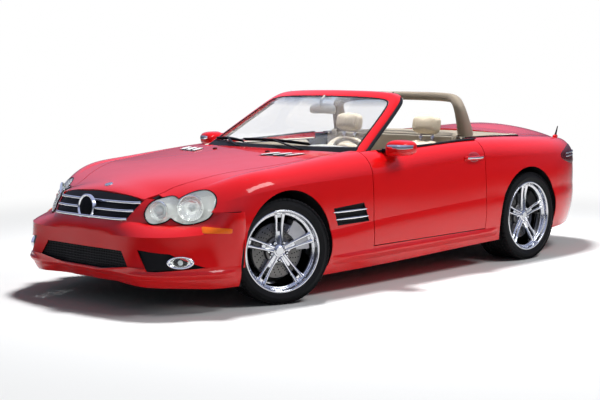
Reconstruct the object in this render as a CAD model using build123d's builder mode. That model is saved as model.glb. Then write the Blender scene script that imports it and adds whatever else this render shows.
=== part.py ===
from build123d import *
import math
import os

# Convertible car, millimetres.  X forward, Y to the car's left, Z up, ground at Z 0.
# The outer skin is one table-driven loft.  Panels are cut from it between it and an
# inset copy; the tub is the inset copy itself, hollowed, so panels sit on it face to face.

# ---- driving dimensions -------------------------------------------------------
SKIN = 5.0                 # thickness of fixed outer panels
GAP = 6.0                  # shut gap round doors and lids
WHEELBASE = 2542.0
FRONT_AXLE_X = 1360.0
REAR_AXLE_X = FRONT_AXLE_X - WHEELBASE
TYRE_R = 328.0
FRONT_TYRE_W = 250.0
REAR_TYRE_W = 275.0
RIM_R = 243.0              # bead seat radius
FRONT_WHEEL_Y = 766.0      # middle plane of a front wheel
REAR_WHEEL_Y = 752.0
STEER_REST = -17.5         # the front wheels stand turned to the car's right
KINGPIN_Y = 746.0
RUN = 0.05                 # radial running clearance in bearings and hinges
SPINDLE_R = 25.0

ARCH_F = (1364.0, 335.0, 368.0)        # x, z, radius of the front arch lip
ARCH_R = (-1160.0, 335.0, 365.0)
HOUSE_F = (1376.0, 335.0, 386.0)       # wheelhouse behind the lip
HOUSE_R = (-1172.0, 335.0, 378.0)
HOUSE_IN_F = 480.0                     # inner wall of the wheelhouses
HOUSE_IN_R = 575.0

DOOR_X0, DOOR_X1 = -622.0, 592.0       # rear and front door shuts
DOOR_Z0 = 288.0
DOOR_IN = 775.0                        # inner face of the door
SILL_Z = DOOR_Z0 - GAP
CABIN_X0, CABIN_X1 = -690.0, 600.0
FLOOR_Z = 215.0
FLOOR_T = 22.0
BAY_X0, BAY_X1 = 756.0, 1985.0
BAY_Y = 462.0
BOOT_X0, BOOT_X1 = -2110.0, -1300.0
BOOT_Z = 410.0
BOOT_Y = 560.0
MUFFLER_Z0, MUFFLER_Z1 = 172.0, 250.0
JACK_R, JACK_Y = 32.0, 690.0
JACKS = ((780.0, 132.0), (-620.0, 166.0))      # x and foot height of the jacking pads
DECK_Z = 880.0                          # top of the tub under cowl and tray
BUMPER_F_X = 1734.0                    # seam of front bumper and wing
BUMPER_R_X = -1535.0
HOOD_X0, HOOD_X1 = 786.0, 2112.0
LID_X0 = -1300.0

# ---- outer skin ---------------------------------------------------------------
# x, y/z of sill edge, crease, shoulder, deck edge, z of crown, bulge of 3 side arcs
ROWS = [
    (2150, 672, 170, 745, 464, 480, 522, 340, 600, 655, 26, 6, 10),
    (2070, 710, 160, 785, 468, 590, 545, 420, 672, 726, 28, 8, 18),
    (1990, 752, 150, 824, 478, 665, 562, 455, 690, 748, 30, 12, 20),
    (1840, 812, 145, 868, 488, 790, 648, 610, 735, 783, 30, 14, 18),
    (1640, 850, 140, 893, 470, 873, 696, 690, 794, 818, 30, 8, 40),
    (1386, 858, 138, 905, 440, 893, 722, 708, 826, 850, 26, 7, 44),
    (1000, 864, 140, 905, 425, 896, 738, 715, 866, 886, 24, 5, 42),
    (600, 868, 145, 905, 450, 895, 750, 745, 896, 912, 20, 4, 34),
    (0, 868, 160, 905, 480, 892, 765, 800, 902, 915, 18, 3, 24),
    (-600, 868, 178, 905, 508, 892, 778, 790, 924, 934, 18, 4, 30),
    (-1174, 858, 190, 905, 520, 893, 768, 740, 918, 944, 22, 8, 40),
    (-1600, 836, 205, 882, 520, 868, 765, 694, 900, 962, 24, 8, 42),
    (-1900, 778, 215, 830, 520, 818, 760, 645, 874, 938, 24, 6, 40),
    (-2060, 715, 225, 770, 522, 760, 745, 595, 850, 908, 22, 5, 34),
    (-2180, 622, 242, 688, 525, 675, 722, 530, 812, 862, 18, 4, 28),
    (-2255, 475, 285, 565, 528, 548, 676, 425, 734, 772, 12, 3, 18),
]


def bow(p, q, sag):
    """Arc from p to q that bows by sag to the right of the way it runs."""
    mx, my = (p[0] + q[0]) / 2, (p[1] + q[1]) / 2
    dx, dy = q[0] - p[0], q[1] - p[1]
    run = math.hypot(dx, dy)
    return ThreePointArc(p, (mx + dy / run * sag, my - dx / run * sag), q)


def skin(inset):
    """Closed body of the car's outer form, moved in by inset."""
    mid = (ROWS[0][0] + ROWS[-1][0]) / 2
    with BuildPart(mode=Mode.PRIVATE) as form:
        for (x, ys, zs, yc, zc, yh, zh, yb, zb, zt, b1, b2, b3) in ROWS:
            end = x in (ROWS[0][0], ROWS[-1][0])
            px = x - math.copysign(inset, x - mid) if end else x
            sill, crease = (ys - inset, zs + inset), (yc - inset, zc)
            shoulder, deck = (yh - inset, zh), (yb - inset, zb - inset)
            with BuildSketch(Plane(origin=(px, 0, 0), x_dir=(0, 1, 0), z_dir=(1, 0, 0))):
                with BuildLine():
                    Line((-sill[0], sill[1]), sill)
                    bow(sill, crease, b1)
                    bow(crease, shoulder, b2)
                    bow(shoulder, deck, b3)
                    bow(deck, (-deck[0], deck[1]), zt - zb)
                    bow((-deck[0], deck[1]), (-shoulder[0], shoulder[1]), b3)
                    bow((-shoulder[0], shoulder[1]), (-crease[0], crease[1]), b2)
                    bow((-crease[0], crease[1]), (-sill[0], sill[1]), b1)
                make_face()
        loft()
    return form.part


def block(x0, x1, y0, y1, z0, z1):
    """Plain cutting block between two corners."""
    middle = Pos((x0 + x1) / 2, (y0 + y1) / 2, (z0 + z1) / 2)
    return middle * Box(x1 - x0, y1 - y0, z1 - z0, mode=Mode.PRIVATE)


def drum(x, z, radius, y0, y1):
    """Cylinder along Y from y0 to y1."""
    return Pos(x, (y0 + y1) / 2, z) * Rot(90, 0, 0) * Cylinder(radius, abs(y1 - y0), mode=Mode.PRIVATE)


# Nose: sections stand on planes that fan out round a post at NOSE_X.
# angle, then distance from the post and height of: foot, lip, crease, kink, top
NOSE_X = 1500.0
NOSE = [
    (0, 700, 176, 752, 284, 758, 462, 740, 545, 614, 712),
    (14, 722, 176, 772, 284, 777, 462, 756, 545, 630, 704),
    (27, 795, 173, 846, 285, 842, 463, 780, 545, 684, 686),
    (37, 882, 168, 926, 286, 905, 465, 780, 534, 712, 672),
    (46, 908, 165, 950, 286, 937, 468, 790, 528, 706, 670),
    (55, 906, 160, 944, 286, 934, 474, 812, 532, 716, 676),
    (66, 896, 152, 922, 284, 926, 486, 880, 592, 836, 668),
    (77, 874, 141, 889, 272, 908, 470, 903, 602, 893, 690),
]


def nose(inset, thick):
    """Wall of the nose from inset to inset + thick below its outer face."""
    with BuildPart(mode=Mode.PRIVATE) as form:
        for row in [(-r[0], *r[1:]) for r in NOSE[:0:-1]] + NOSE:
            turn = math.radians(row[0])
            out = Vector(math.cos(turn), math.sin(turn), 0)
            pts = list(zip(row[1::2], row[2::2]))
            near = [(r - inset, z - (inset if i == 4 else 0)) for i, (r, z) in enumerate(pts)]
            far = [(r - inset - thick, z - (inset + thick if i > 3 else 0)) for i, (r, z) in enumerate(pts)]
            with BuildSketch(Plane(origin=(NOSE_X, 0, 0), x_dir=out, z_dir=out.cross(Vector(0, 0, 1)))):
                with BuildLine():
                    for side, sign in ((near, 1), (far[::-1], -1)):
                        sags = (10, -3, 8, 8) if sign > 0 else (8, 8, -3, 10)
                        for p, q, sag in zip(side, side[1:], sags):
                            bow(p, q, sign * sag)
                    Line(near[-1], far[-1])
                    Line(far[0], near[0])
                make_face()
        loft()
    return form.part


def drum_x(y, z, radius, x0, x1):
    """Cylinder along X from x0 to x1."""
    return Pos((x0 + x1) / 2, y, z) * Rot(0, 90, 0) * Cylinder(radius, x1 - x0, mode=Mode.PRIVATE)


OUTER = skin(0)
CORE = skin(SKIN)
PANEL = 18.0                # thickness of hood and boot lid
UNDER_PANEL = skin(PANEL)
LAMP_T = 45.0
UNDER_LAMP = skin(LAMP_T)
TRIM_T = 14.0
UNDER_TRIM = skin(TRIM_T)


# ---- plan outlines ------------------------------------------------------------
def hood_prism(grow, z0=560):
    """Upright prism over the hood's plan outline."""
    with BuildPart(mode=Mode.PRIVATE) as prism:
        with BuildSketch(Plane.XY.offset(z0)):
            with BuildLine():
                ThreePointArc((2090, -398), (HOOD_X1, 0), (2090, 398))
                Line((2090, 398), (1900, 448))
                ThreePointArc((1900, 448), (1500, 622), (1000, 692))
                Line((1000, 692), (705, 706))
                ThreePointArc((705, 706), (HOOD_X0 + 12, 0), (705, -706))
                Line((705, -706), (1000, -692))
                ThreePointArc((1000, -692), (1500, -622), (1900, -448))
                Line((1900, -448), (2090, -398))
            make_face()
            if grow:
                offset(amount=grow, kind=Kind.INTERSECTION)
        extrude(amount=1000 - z0)
    return prism.part


def lid_prism(grow, z0=646):
    """Upright prism over the boot lid's plan outline."""
    with BuildPart(mode=Mode.PRIVATE) as prism:
        with BuildSketch(Plane.XY.offset(z0 - grow)):
            with BuildLine():
                Polyline((LID_X0, -660), (LID_X0, 660), (-1900, 612), (-2120, 520), (-2300, 500),
                         (-2300, -500), (-2120, -520), (-1900, -612), close=True)
            make_face()
            if grow:
                offset(amount=grow, kind=Kind.INTERSECTION)
        extrude(amount=1000 - z0)
    return prism.part


def door_prism(grow):
    """Prism over the left door's plan outline; its rear face leans in for the swing."""
    with BuildPart(mode=Mode.PRIVATE) as prism:
        with BuildSketch(Plane.XY.offset(DOOR_Z0 - grow)):
            with BuildLine():
                Polyline((DOOR_X1, DOOR_IN), (DOOR_X1, 960), (DOOR_X0, 960), (DOOR_X0 + 22, DOOR_IN),
                         close=True)
            make_face()
            if grow:
                offset(amount=grow, kind=Kind.INTERSECTION)
        extrude(amount=1000 - DOOR_Z0)
    return prism.part


def lamp_prism():
    """Two lenses side by side, drawn from the front and run along X."""
    with BuildPart(mode=Mode.PRIVATE) as prism:
        with BuildSketch(Plane(origin=(1700, 0, 0), x_dir=(0, 1, 0), z_dir=(1, 0, 0))):
            with Locations((512, 608)):
                Ellipse(74, 80)
            with Locations((662, 626)):
                Ellipse(116, 98)
        extrude(amount=500)
    return prism.part


def tail_prism():
    """Left tail lamp's outline from the side, run along Y."""
    with BuildPart(mode=Mode.PRIVATE) as prism:
        with BuildSketch(Plane(origin=(0, 506 + GAP, 0), x_dir=(1, 0, 0), z_dir=(0, -1, 0))):
            with BuildLine():
                Polyline((-2300, 652), (-2060, 690), (-1985, 770), (-2040, 800), (-2300, 800), close=True)
            make_face()
        extrude(amount=-440)
    return prism.part


def gill_prism(grow=0):
    """Left wing gill opening, drawn from the side."""
    with BuildPart(mode=Mode.PRIVATE) as prism:
        with BuildSketch(Plane(origin=(0, 840, 0), x_dir=(1, 0, 0), z_dir=(0, -1, 0))):
            with BuildLine():
                Polyline((690, 577), (640, 452), (940, 447), (978, 560), close=True)
            make_face()
            if grow:
                offset(amount=grow, kind=Kind.INTERSECTION)
        extrude(amount=-100)
    return prism.part


def front_prism(points, x0, grow=0):
    """Prism seen from the front: points are y, z; it runs forward from x0."""
    with BuildPart(mode=Mode.PRIVATE) as prism:
        with BuildSketch(Plane(origin=(x0, 0, 0), x_dir=(0, 1, 0), z_dir=(1, 0, 0))):
            with BuildLine():
                Polyline(*points, close=True)
            make_face()
            if grow:
                offset(amount=grow, kind=Kind.INTERSECTION)
        extrude(amount=2400 - x0)
    return prism.part


GRILLE_LINE = [(-407, 672), (0, 716), (407, 672), (350, 546), (-350, 546)]
INTAKE_LINE = [(-372, 374), (372, 374), (460, 255), (-460, 255)]
FOG_LINE = [(505, 392), (690, 372), (812, 285), (585, 262)]
GRILLE = front_prism(GRILLE_LINE, 1995)
INTAKE = front_prism(INTAKE_LINE, 2000)
FOG = front_prism(FOG_LINE, 1900)
TRIM_LIP = 12.0             # how far trim reaches behind the bumper skin
TRIM_FREE = 0.25            # seating play between the trim and the bumper skin
FOG_LAMP = (50.8, 321.0, 38.0)      # turn round the nose post, height, radius
BAR_Z = (575.0, 612.0, 649.0)       # bars of the grille
BAR_H = 9.0
UNDER_SLOT = skin(TRIM_T - 3)
HOOD_IN, HOOD_OUT = hood_prism(0), hood_prism(GAP)
LID_IN, LID_OUT = lid_prism(0), lid_prism(GAP)
DOOR_CUT, DOOR_OUT = door_prism(0), door_prism(GAP)
LAMP = lamp_prism()
TAIL = tail_prism()
GILL = gill_prism()
ARCH_CUT_F = drum(*ARCH_F, 470, 1000)
ARCH_CUT_R = drum(*ARCH_R, 560, 1000)

# ---- hinges -------------------------------------------------------------------
HINGE_PIN_R = 5.0
HINGE_EYE_R = 9.0
HINGE_BACK = 12.0           # axis behind the panel edge
HINGE_LEN = 40.0


def hinge(plane):
    """Gooseneck hinge; plane: x toward the fixed side, y out of the skin, z the axis.
    Gives the fixed bracket with its pin, the moving eye, and the pocket cut in the panel."""
    low, high = -HINGE_LEN / 2, HINGE_LEN / 2
    with BuildPart(mode=Mode.PRIVATE) as bracket:
        for z0 in (low - 9, high + 1):
            with BuildSketch(plane.offset(z0)):
                Circle(7)
                with Locations((0, -18.5)):
                    Rectangle(14, 37)
                with Locations((27, -30)):
                    Rectangle(68, 14)
            extrude(amount=8)
        with BuildSketch(plane.offset(low - 9)):
            Circle(HINGE_PIN_R)
        extrude(amount=HINGE_LEN + 18)
        with BuildSketch(plane.offset(low - 9)):
            with Locations((54, -30)):
                Rectangle(14, 14)
        extrude(amount=HINGE_LEN + 18)
    with BuildPart(mode=Mode.PRIVATE) as eye:
        with BuildSketch(plane.offset(low)):
            Circle(HINGE_EYE_R)
            with Locations((-14, 0)):
                Rectangle(28, 12)
            Circle(HINGE_PIN_R + RUN, mode=Mode.SUBTRACT)
        extrude(amount=HINGE_LEN)
    with BuildPart(mode=Mode.PRIVATE) as pocket:
        with BuildSketch(plane.offset(low - 15)):
            with Locations((1, -18.5)):
                Rectangle(34, 55)
        extrude(amount=HINGE_LEN + 30)
    return bracket.part, eye.part, pocket.part


DOOR_AXIS = (DOOR_X1 - HINGE_BACK, 891.0)
DOOR_HINGE_Z = (400.0, 600.0)
DOOR_HINGES = [hinge(Plane(origin=(*DOOR_AXIS, z), x_dir=(1, 0, 0), z_dir=(0, 0, 1))) for z in DOOR_HINGE_Z]
HOOD_AXIS = (HOOD_X0 + 12 + HINGE_BACK, 882.0)      # x, z
HOOD_HINGES = [hinge(Plane(origin=(HOOD_AXIS[0], y, HOOD_AXIS[1]), x_dir=(-1, 0, 0), z_dir=(0, 1, 0)))
               for y in (-230, 230)]
LID_AXIS = (LID_X0 - HINGE_BACK, 931.0)
LID_HINGES = [hinge(Plane(origin=(LID_AXIS[0], y, LID_AXIS[1]), x_dir=(1, 0, 0), z_dir=(0, -1, 0)))
              for y in (-330, 330)]

# ---- glass and header ---------------------------------------------------------
# z, x of corner, y of corner, x at the middle of the windscreen's outer face
SCREEN_LOW = (880.0, 565.0, 760.0, 776.0)
SCREEN_TOP = (1272.0, -64.0, 612.0, 40.0)


def screen(inset, side_in, rows=(SCREEN_LOW, SCREEN_TOP)):
    """Crescent swept up from cowl to header: depth inset, ends pulled in by side_in."""
    with BuildPart(mode=Mode.PRIVATE) as form:
        for z, xc, yc, xm in rows:
            k = side_in / yc
            xe = xc + (xm - xc) * (1 - (1 - k) ** 2)
            ye = yc - side_in
            with BuildSketch(Plane.XY.offset(z)):
                with BuildLine():
                    ThreePointArc((xe, -ye), (xm, 0), (xe, ye))
                    Line((xe, ye), (xe - inset, ye))
                    ThreePointArc((xe - inset, ye), (xm - inset, 0), (xe - inset, -ye))
                    Line((xe - inset, -ye), (xe, -ye))
                make_face()
        loft()
    return form.part


def level(row_a, row_b, z):
    """Row of the screen table at height z."""
    t = (z - row_a[0]) / (row_b[0] - row_a[0])
    return tuple(a + (b - a) * t for a, b in zip(row_a, row_b))


def ahead(row):
    """The same row of the screen moved forward, clear of its outer face."""
    return (row[0], row[1] + FRAME_DEEP, row[2], row[3] + FRAME_DEEP)


SCREEN_BASE = level(SCREEN_LOW, SCREEN_TOP, 916.0)
SCREEN_HEAD = level(SCREEN_LOW, SCREEN_TOP, 1238.0)
FRAME_DEEP = 62.0
PILLAR = 46.0
GLASS_T = 6.0

# ---- tub ----------------------------------------------------------------------
def both(piece):
    """A left-hand cutter and its mirror image."""
    return [piece, piece.mirror(Plane.XZ)]


with BuildPart() as floor_tub:
    add(CORE)
    add([block(CABIN_X0, CABIN_X1, -DOOR_IN + 10, DOOR_IN - 10, FLOOR_Z + FLOOR_T, 1000),
         block(BAY_X0, BAY_X1, -BAY_Y, BAY_Y, FLOOR_Z, 1000),
         block(BOOT_X0, BOOT_X1, -BOOT_Y, BOOT_Y, BOOT_Z, 1000),
         block(-1300, 1000, -DOOR_IN, DOOR_IN, DECK_Z, 1000),
         block(FRONT_AXLE_X - 50, FRONT_AXLE_X + 50, -600, 600, 100, 200),
         block(REAR_AXLE_X - 50, REAR_AXLE_X + 50, -650, 650, 100, 250),
         block(-2300, 900, -110, 110, 100, 205),
         block(-1790, -1610, -520, 520, 100, MUFFLER_Z1),
         *both(block(-2300, -1610, 355, 520, 100, 300)),
         HOOD_OUT, LID_OUT,
         *both(drum(*HOUSE_F, HOUSE_IN_F, 1000)),
         *both(drum(*HOUSE_R, HOUSE_IN_R, 1000)),
         *both(block(HOUSE_F[0] - 340, HOUSE_F[0] + 340, HOUSE_IN_F, 1000, 0, 335)),
         *both(DOOR_OUT),
         *both(block(DOOR_X1 - 60, DOOR_X1 + 18, 860, 960, SILL_Z, 1000)),
         *both(block(640, 980, 1000 - 110, 1000, 440, 590)),
         *both(block(BUMPER_F_X - 4, 2300, 440, 1000, 0, 1000)),
         block(2040, 2300, -440, 440, 0, 1000),
         *both(block(-2400, -1970, 500, 1000, 640, 900))],
        mode=Mode.SUBTRACT)


def save(piece, label):
    """Name a solid and write it as parts/<label>.step."""
    piece = max(piece.solids(), key=lambda solid: solid.volume)
    piece.label = label
    export_step(piece, "parts/" + label + ".step")


def save_pair(piece, label):
    """Write a left piece and its mirror image."""
    save(piece, label + "_left")
    save(piece.mirror(Plane.XZ), label + "_right")


os.makedirs("parts", exist_ok=True)

# ---- outer panels -------------------------------------------------------------
with BuildPart() as wing:
    add(OUTER & block(DOOR_X1 + GAP, 2000, 300, 1000, 268, 1000))
    add(CORE, mode=Mode.SUBTRACT)
    add([block(BUMPER_F_X, 2100, 0, 1000, 0, 602), HOOD_OUT, ARCH_CUT_F, LAMP, GILL,
         block(590, 812, 0, 706, 850, 1000)], mode=Mode.SUBTRACT)
save_pair(wing.part, "front_wing")

with BuildPart() as front_bumper:
    add(nose(0, SKIN))
    for cut in (HOOD_OUT, GRILLE, INTAKE):
        add(cut, mode=Mode.SUBTRACT)
    for cut in (FOG, LAMP, block(1600, 2000, 300, 1000, 602, 1000),
                block(1600, BUMPER_F_X, 300, 1000, 0, 1000)):
        add(both(cut), mode=Mode.SUBTRACT)
save(front_bumper.part, "front_bumper")

with BuildPart() as body_side:
    add(OUTER & block(-2400, 1040, 0, 1000, 0, 1000))
    add(CORE, mode=Mode.SUBTRACT)
    add([DOOR_OUT, LID_OUT, ARCH_CUT_R, ARCH_CUT_F, TAIL,
         block(-2500, BUMPER_R_X, -10, 1000, -10, 640),
         block(-1294, 1100, -10, 700, 300, 1100),
         block(DOOR_X0 - GAP, 1100, -10, DOOR_IN, 300, 1100),
         block(-1540, 1100, -10, 560, -10, 300),
         block(DOOR_X1 + GAP, 1100, -10, 1000, 268, 1100)], mode=Mode.SUBTRACT)
    with Locations([(x, JACK_Y, z) for x, z in JACKS]):
        Cylinder(JACK_R, 100, mode=Mode.SUBTRACT)
save_pair(body_side.part, "body_side")

with BuildPart() as rear_bumper:
    add(OUTER & block(-2400, BUMPER_R_X, -1000, 1000, 0, 640))
    add(CORE, mode=Mode.SUBTRACT)
    add([block(-2190, -1500, -640, 640, 100, 300), *both(block(-2300, -2190, 355, 520, 200, 296))],
        mode=Mode.SUBTRACT)
save(rear_bumper.part, "rear_bumper")

with BuildPart() as hood:
    add(OUTER & HOOD_IN)
    add(UNDER_PANEL, mode=Mode.SUBTRACT)
    add([h[2] for h in HOOD_HINGES], mode=Mode.SUBTRACT)
    add([h[1] for h in HOOD_HINGES])
save(hood.part, "hood")

with BuildPart() as trunk_lid:
    add(OUTER & LID_IN)
    add(UNDER_PANEL, mode=Mode.SUBTRACT)
    add([h[2] for h in LID_HINGES], mode=Mode.SUBTRACT)
    add([h[1] for h in LID_HINGES])
save(trunk_lid.part, "trunk_lid")

with BuildPart() as head_lamp:
    add(nose(-3, 28) & LAMP)
    add(HOOD_OUT, mode=Mode.SUBTRACT)
save_pair(head_lamp.part, "head_lamp")

with BuildPart() as tail_lamp:
    add(OUTER & TAIL)
    add(UNDER_LAMP, mode=Mode.SUBTRACT)
    add(LID_OUT, mode=Mode.SUBTRACT)
save_pair(tail_lamp.part, "tail_lamp")

# wing gill: a tray with two blades across it
with BuildPart() as gill:
    add(OUTER & GILL)
    add(UNDER_TRIM, mode=Mode.SUBTRACT)
    slots = [block(600, 1000, 800, 1000, z - 12, z + 12) & gill_prism(-6) for z in (468, 511, 554)]
    add([s - UNDER_SLOT for s in slots], mode=Mode.SUBTRACT)
save_pair(gill.part, "gill")

# ---- doors --------------------------------------------------------------------
with BuildPart() as door:
    add(OUTER & DOOR_CUT)
    add([h[2] for h in DOOR_HINGES], mode=Mode.SUBTRACT)
    add([h[1] for h in DOOR_HINGES])
    with BuildSketch(Plane(origin=(355, 0, 0), x_dir=(0, 1, 0), z_dir=(1, 0, 0))):
        with BuildLine():
            Polyline((820, 860), (880, 872), (990, 884), (993, 940), (880, 950), (868, 905),
                     (820, 890), close=True)
        make_face()
    extrude(amount=48, both=True)
    with BuildSketch(Plane.XY.offset(793)):
        with Locations((-485, 890)):
            SlotOverall(210, 26)
    extrude(amount=16)
save_pair(door.part, "door")

with BuildPart() as tub:
    add(floor_tub.part)
    add([h[0] for h in HOOD_HINGES + LID_HINGES] + [b for h in DOOR_HINGES for b in both(h[0])])
    add([block(LID_X0 + 34, LID_X0 + 50, y - 29, y + 29, DECK_Z - 20, LID_AXIS[1] - 24) for y in (-330, 330)])
    with Locations([(x, side * JACK_Y, z + 20) for x, z in JACKS for side in (-1, 1)]):
        Cylinder(JACK_R, 40)
save(tub.part, "floor_tub")

# ---- grille, intake, fog lamps ------------------------------------------------
def recess(line, x0, opening, deep):
    """Trim seated behind the bumper skin, its middle sunk by deep."""
    back = SKIN + TRIM_FREE
    return (nose(back, deep + 10) & front_prism(line, x0, TRIM_LIP)) - (nose(0, back + deep) & opening)


with BuildPart() as grille:
    add(recess(GRILLE_LINE, 1995, GRILLE, 18))
    add([nose(3, 10) & GRILLE & block(1900, 2400, -420, 420, z - BAR_H / 2, z + BAR_H / 2) for z in BAR_Z])
    add(HOOD_OUT, mode=Mode.SUBTRACT)
save(grille.part, "grille")

with BuildPart() as intake:
    add(recess(INTAKE_LINE, 2000, INTAKE, 9))
save(intake.part, "lower_grille")

with BuildPart() as fog:
    add(recess(FOG_LINE, 1900, FOG, 9))
    turn = math.radians(FOG_LAMP[0])
    aim = Vector(math.cos(turn), math.sin(turn), 0)
    with BuildPart(mode=Mode.PRIVATE) as bowl:
        with BuildSketch(Plane(origin=Vector(NOSE_X, 0, FOG_LAMP[1]) + aim * 922, z_dir=aim)):
            Circle(FOG_LAMP[2])
        extrude(amount=19)
    add(bowl.part & front_prism(FOG_LINE, 1900, -TRIM_FREE))
save_pair(fog.part, "fog_lamp")

# ---- cowl, windscreen and its frame -------------------------------------------
with BuildPart() as frame:
    add(screen(FRAME_DEEP, 0))
    add(screen(FRAME_DEEP + 400, PILLAR, (ahead(SCREEN_BASE), ahead(SCREEN_HEAD))), mode=Mode.SUBTRACT)
save(frame.part, "windscreen_frame")

with BuildPart() as glass:
    add(screen(GLASS_T, PILLAR, (SCREEN_BASE, SCREEN_HEAD)))
save(glass.part, "windscreen")

# ---- wheels -------------------------------------------------------------------
def tyre_solid(width, bead):
    """Tyre about local Z, outboard +Z; its bead seats on the rim."""
    half = width / 2
    with BuildPart(mode=Mode.PRIVATE) as solid:
        with BuildSketch(Plane.XZ):
            with BuildLine():
                Polyline((RIM_R, half - bead), (RIM_R + 17, half - bead + 1))
                ThreePointArc((RIM_R + 17, half - bead + 1), (RIM_R + 42, half), (TYRE_R - 12, half - 8))
                Line((TYRE_R - 12, half - 8), (TYRE_R, half - 24))
                Line((TYRE_R, half - 24), (TYRE_R, 24 - half))
                Line((TYRE_R, 24 - half), (TYRE_R - 12, 8 - half))
                ThreePointArc((TYRE_R - 12, 8 - half), (RIM_R + 42, -half), (RIM_R + 17, bead - 1 - half))
                Line((RIM_R + 17, bead - 1 - half), (RIM_R, bead - half))
                Line((RIM_R, bead - half), (RIM_R, half - bead))
            make_face()
        revolve(axis=Axis.Z)
    return solid.part


def rim_solid(width, bead):
    """Five pairs of spokes in a deep barrel, with the brake disc behind them."""
    half = width / 2 - bead
    with BuildPart(mode=Mode.PRIVATE) as solid:
        with BuildSketch(Plane.XZ):
            Polygon((RIM_R - 13, -half), (RIM_R, -half), (RIM_R, half), (RIM_R + 14, half + 1),
                    (RIM_R + 14, half + 8), (RIM_R - 4, half + 8), (RIM_R - 13, half - 18), align=None)
        revolve(axis=Axis.Z)
        with BuildSketch(Plane.XZ):
            Polygon((SPINDLE_R + RUN, 10), (172, 12), (172, 38), (75, 38), (66, 52), (66, half - 6),
                    (SPINDLE_R + RUN, half - 6), align=None)
        revolve(axis=Axis.Z)
        with BuildSketch(Plane.XY.offset(half - 40)):
            with PolarLocations(0, 5):
                for lean in (-1, 1):
                    with Locations(Location((0, lean * 15, 0), (0, 0, lean * 5))):
                        Polygon((50, -14), (RIM_R - 8, -11), (RIM_R - 8, 11), (50, 14), align=None)
        extrude(amount=30)
        with BuildSketch(Plane.XY.offset(half - 6)):
            Circle(34)
        extrude(amount=8)
    return solid.part


BEAD = 17.0
OUT_L = Rot(-90, 0, 0)              # local Z turned to +Y
OUT_R = Rot(90, 0, 0)


def steered(side):
    """Turn about the kingpin of one side."""
    pin = (FRONT_AXLE_X, side * KINGPIN_Y, 0)
    return Pos(*pin) * Rot(0, 0, STEER_REST) * Pos(-pin[0], -pin[1], 0)


WHEELS = (  # name, side, x, y, width
    ("front_left", 1, FRONT_AXLE_X, FRONT_WHEEL_Y, FRONT_TYRE_W),
    ("front_right", -1, FRONT_AXLE_X, FRONT_WHEEL_Y, FRONT_TYRE_W),
    ("rear_left", 1, REAR_AXLE_X, REAR_WHEEL_Y, REAR_TYRE_W),
    ("rear_right", -1, REAR_AXLE_X, REAR_WHEEL_Y, REAR_TYRE_W),
)
for name, side, x, y, width in WHEELS:
    place = Pos(x, side * y, TYRE_R) * (OUT_L if side > 0 else OUT_R)
    if name.startswith("front"):
        place = steered(side) * place
    save(place * tyre_solid(width, BEAD), "tyre_" + name)
    save(place * rim_solid(width, BEAD), "rim_" + name)


# ---- carriers: upright, spindle and caliper, about the wheel's own axis -------
def carrier(offset, foot):
    """Local Z outboard from the wheel's middle plane, local Y down; upright at Z = offset."""
    with BuildPart(mode=Mode.PRIVATE) as solid:
        with Locations(Pos(0, (foot - 110) / 2, offset) * Rot(90, 0, 0)):
            Cylinder(24, foot + 110)
        with BuildSketch(Plane.XY.offset(offset)):
            Circle(SPINDLE_R)
        extrude(amount=70 - offset)
        with BuildSketch(Plane.XY.offset(-32)):
            with Locations((-85, 0)):
                Rectangle(200, 70)
        extrude(amount=15)
        with BuildSketch(Plane(origin=(0, 0, 0), x_dir=(-1, 0, 0), z_dir=(0, 1, 0))):
            Polygon((118, -17), (208, -17), (208, 66), (118, 66), (118, 45), (179, 45), (179, 5), (118, 5),
                    align=None)
        revolve(axis=Axis.Z, revolution_arc=60)
    return solid.part


FOOT_Z = 205.0
JOINT_R = 10.0


def down(side, x, y):
    """Carrier's place on one side: local Z outboard, local Y down, local X forward or back."""
    return Location(Plane(origin=(x, side * y, TYRE_R), x_dir=(side, 0, 0), z_dir=(0, side, 0)))


for name, side, x, y, width in WHEELS:
    label = name.split("_")[1]
    if name.startswith("front"):
        body = steered(side) * down(side, x, y) * carrier(KINGPIN_Y - y, TYRE_R - FOOT_Z)
        bore = Pos(x, side * KINGPIN_Y, FOOT_Z + 20) * Cylinder(JOINT_R + RUN, 41)
        save(body - bore, "knuckle_" + label)

with BuildPart() as front_axle:
    add(block(FRONT_AXLE_X - 40, FRONT_AXLE_X + 40, -560, 560, 165, 200))
    for side in (1, -1):
        add(block(FRONT_AXLE_X - 28, FRONT_AXLE_X + 28, *sorted((side * 550, side * KINGPIN_Y)), 172, 199))
        with Locations((FRONT_AXLE_X, side * KINGPIN_Y, 188.5)):
            Cylinder(28, 33)
        with Locations((FRONT_AXLE_X, side * KINGPIN_Y, 212)):
            Cylinder(JOINT_R, 60)
save(front_axle.part, "front_axle")

with BuildPart() as rear_axle:
    add(block(REAR_AXLE_X - 45, REAR_AXLE_X + 45, -640, 640, 195, 250))
    for side in (1, -1):
        add(block(REAR_AXLE_X - 30, REAR_AXLE_X + 30, *sorted((side * 630, side * (REAR_WHEEL_Y - 10))),
                  195, 240))
        add(down(side, REAR_AXLE_X, REAR_WHEEL_Y) * carrier(-20, TYRE_R - FOOT_Z))
save(rear_axle.part, "rear_axle")

# ---- engine and exhaust -------------------------------------------------------
with BuildPart() as engine:
    with Locations((1290, 0, FLOOR_Z + 255)):
        Box(760, 620, 510)
save(engine.part, "engine_block")

with BuildPart() as exhaust:
    add(block(-1700, 860, -60, 60, 152, 190))
    add(block(-1780, -1620, -505, 505, MUFFLER_Z0, MUFFLER_Z1))
    for side in (1, -1):
        for y in (395, 480):
            add(drum_x(side * y, 258, 32, -2215, -1700))
save(exhaust.part, "exhaust")

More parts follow.
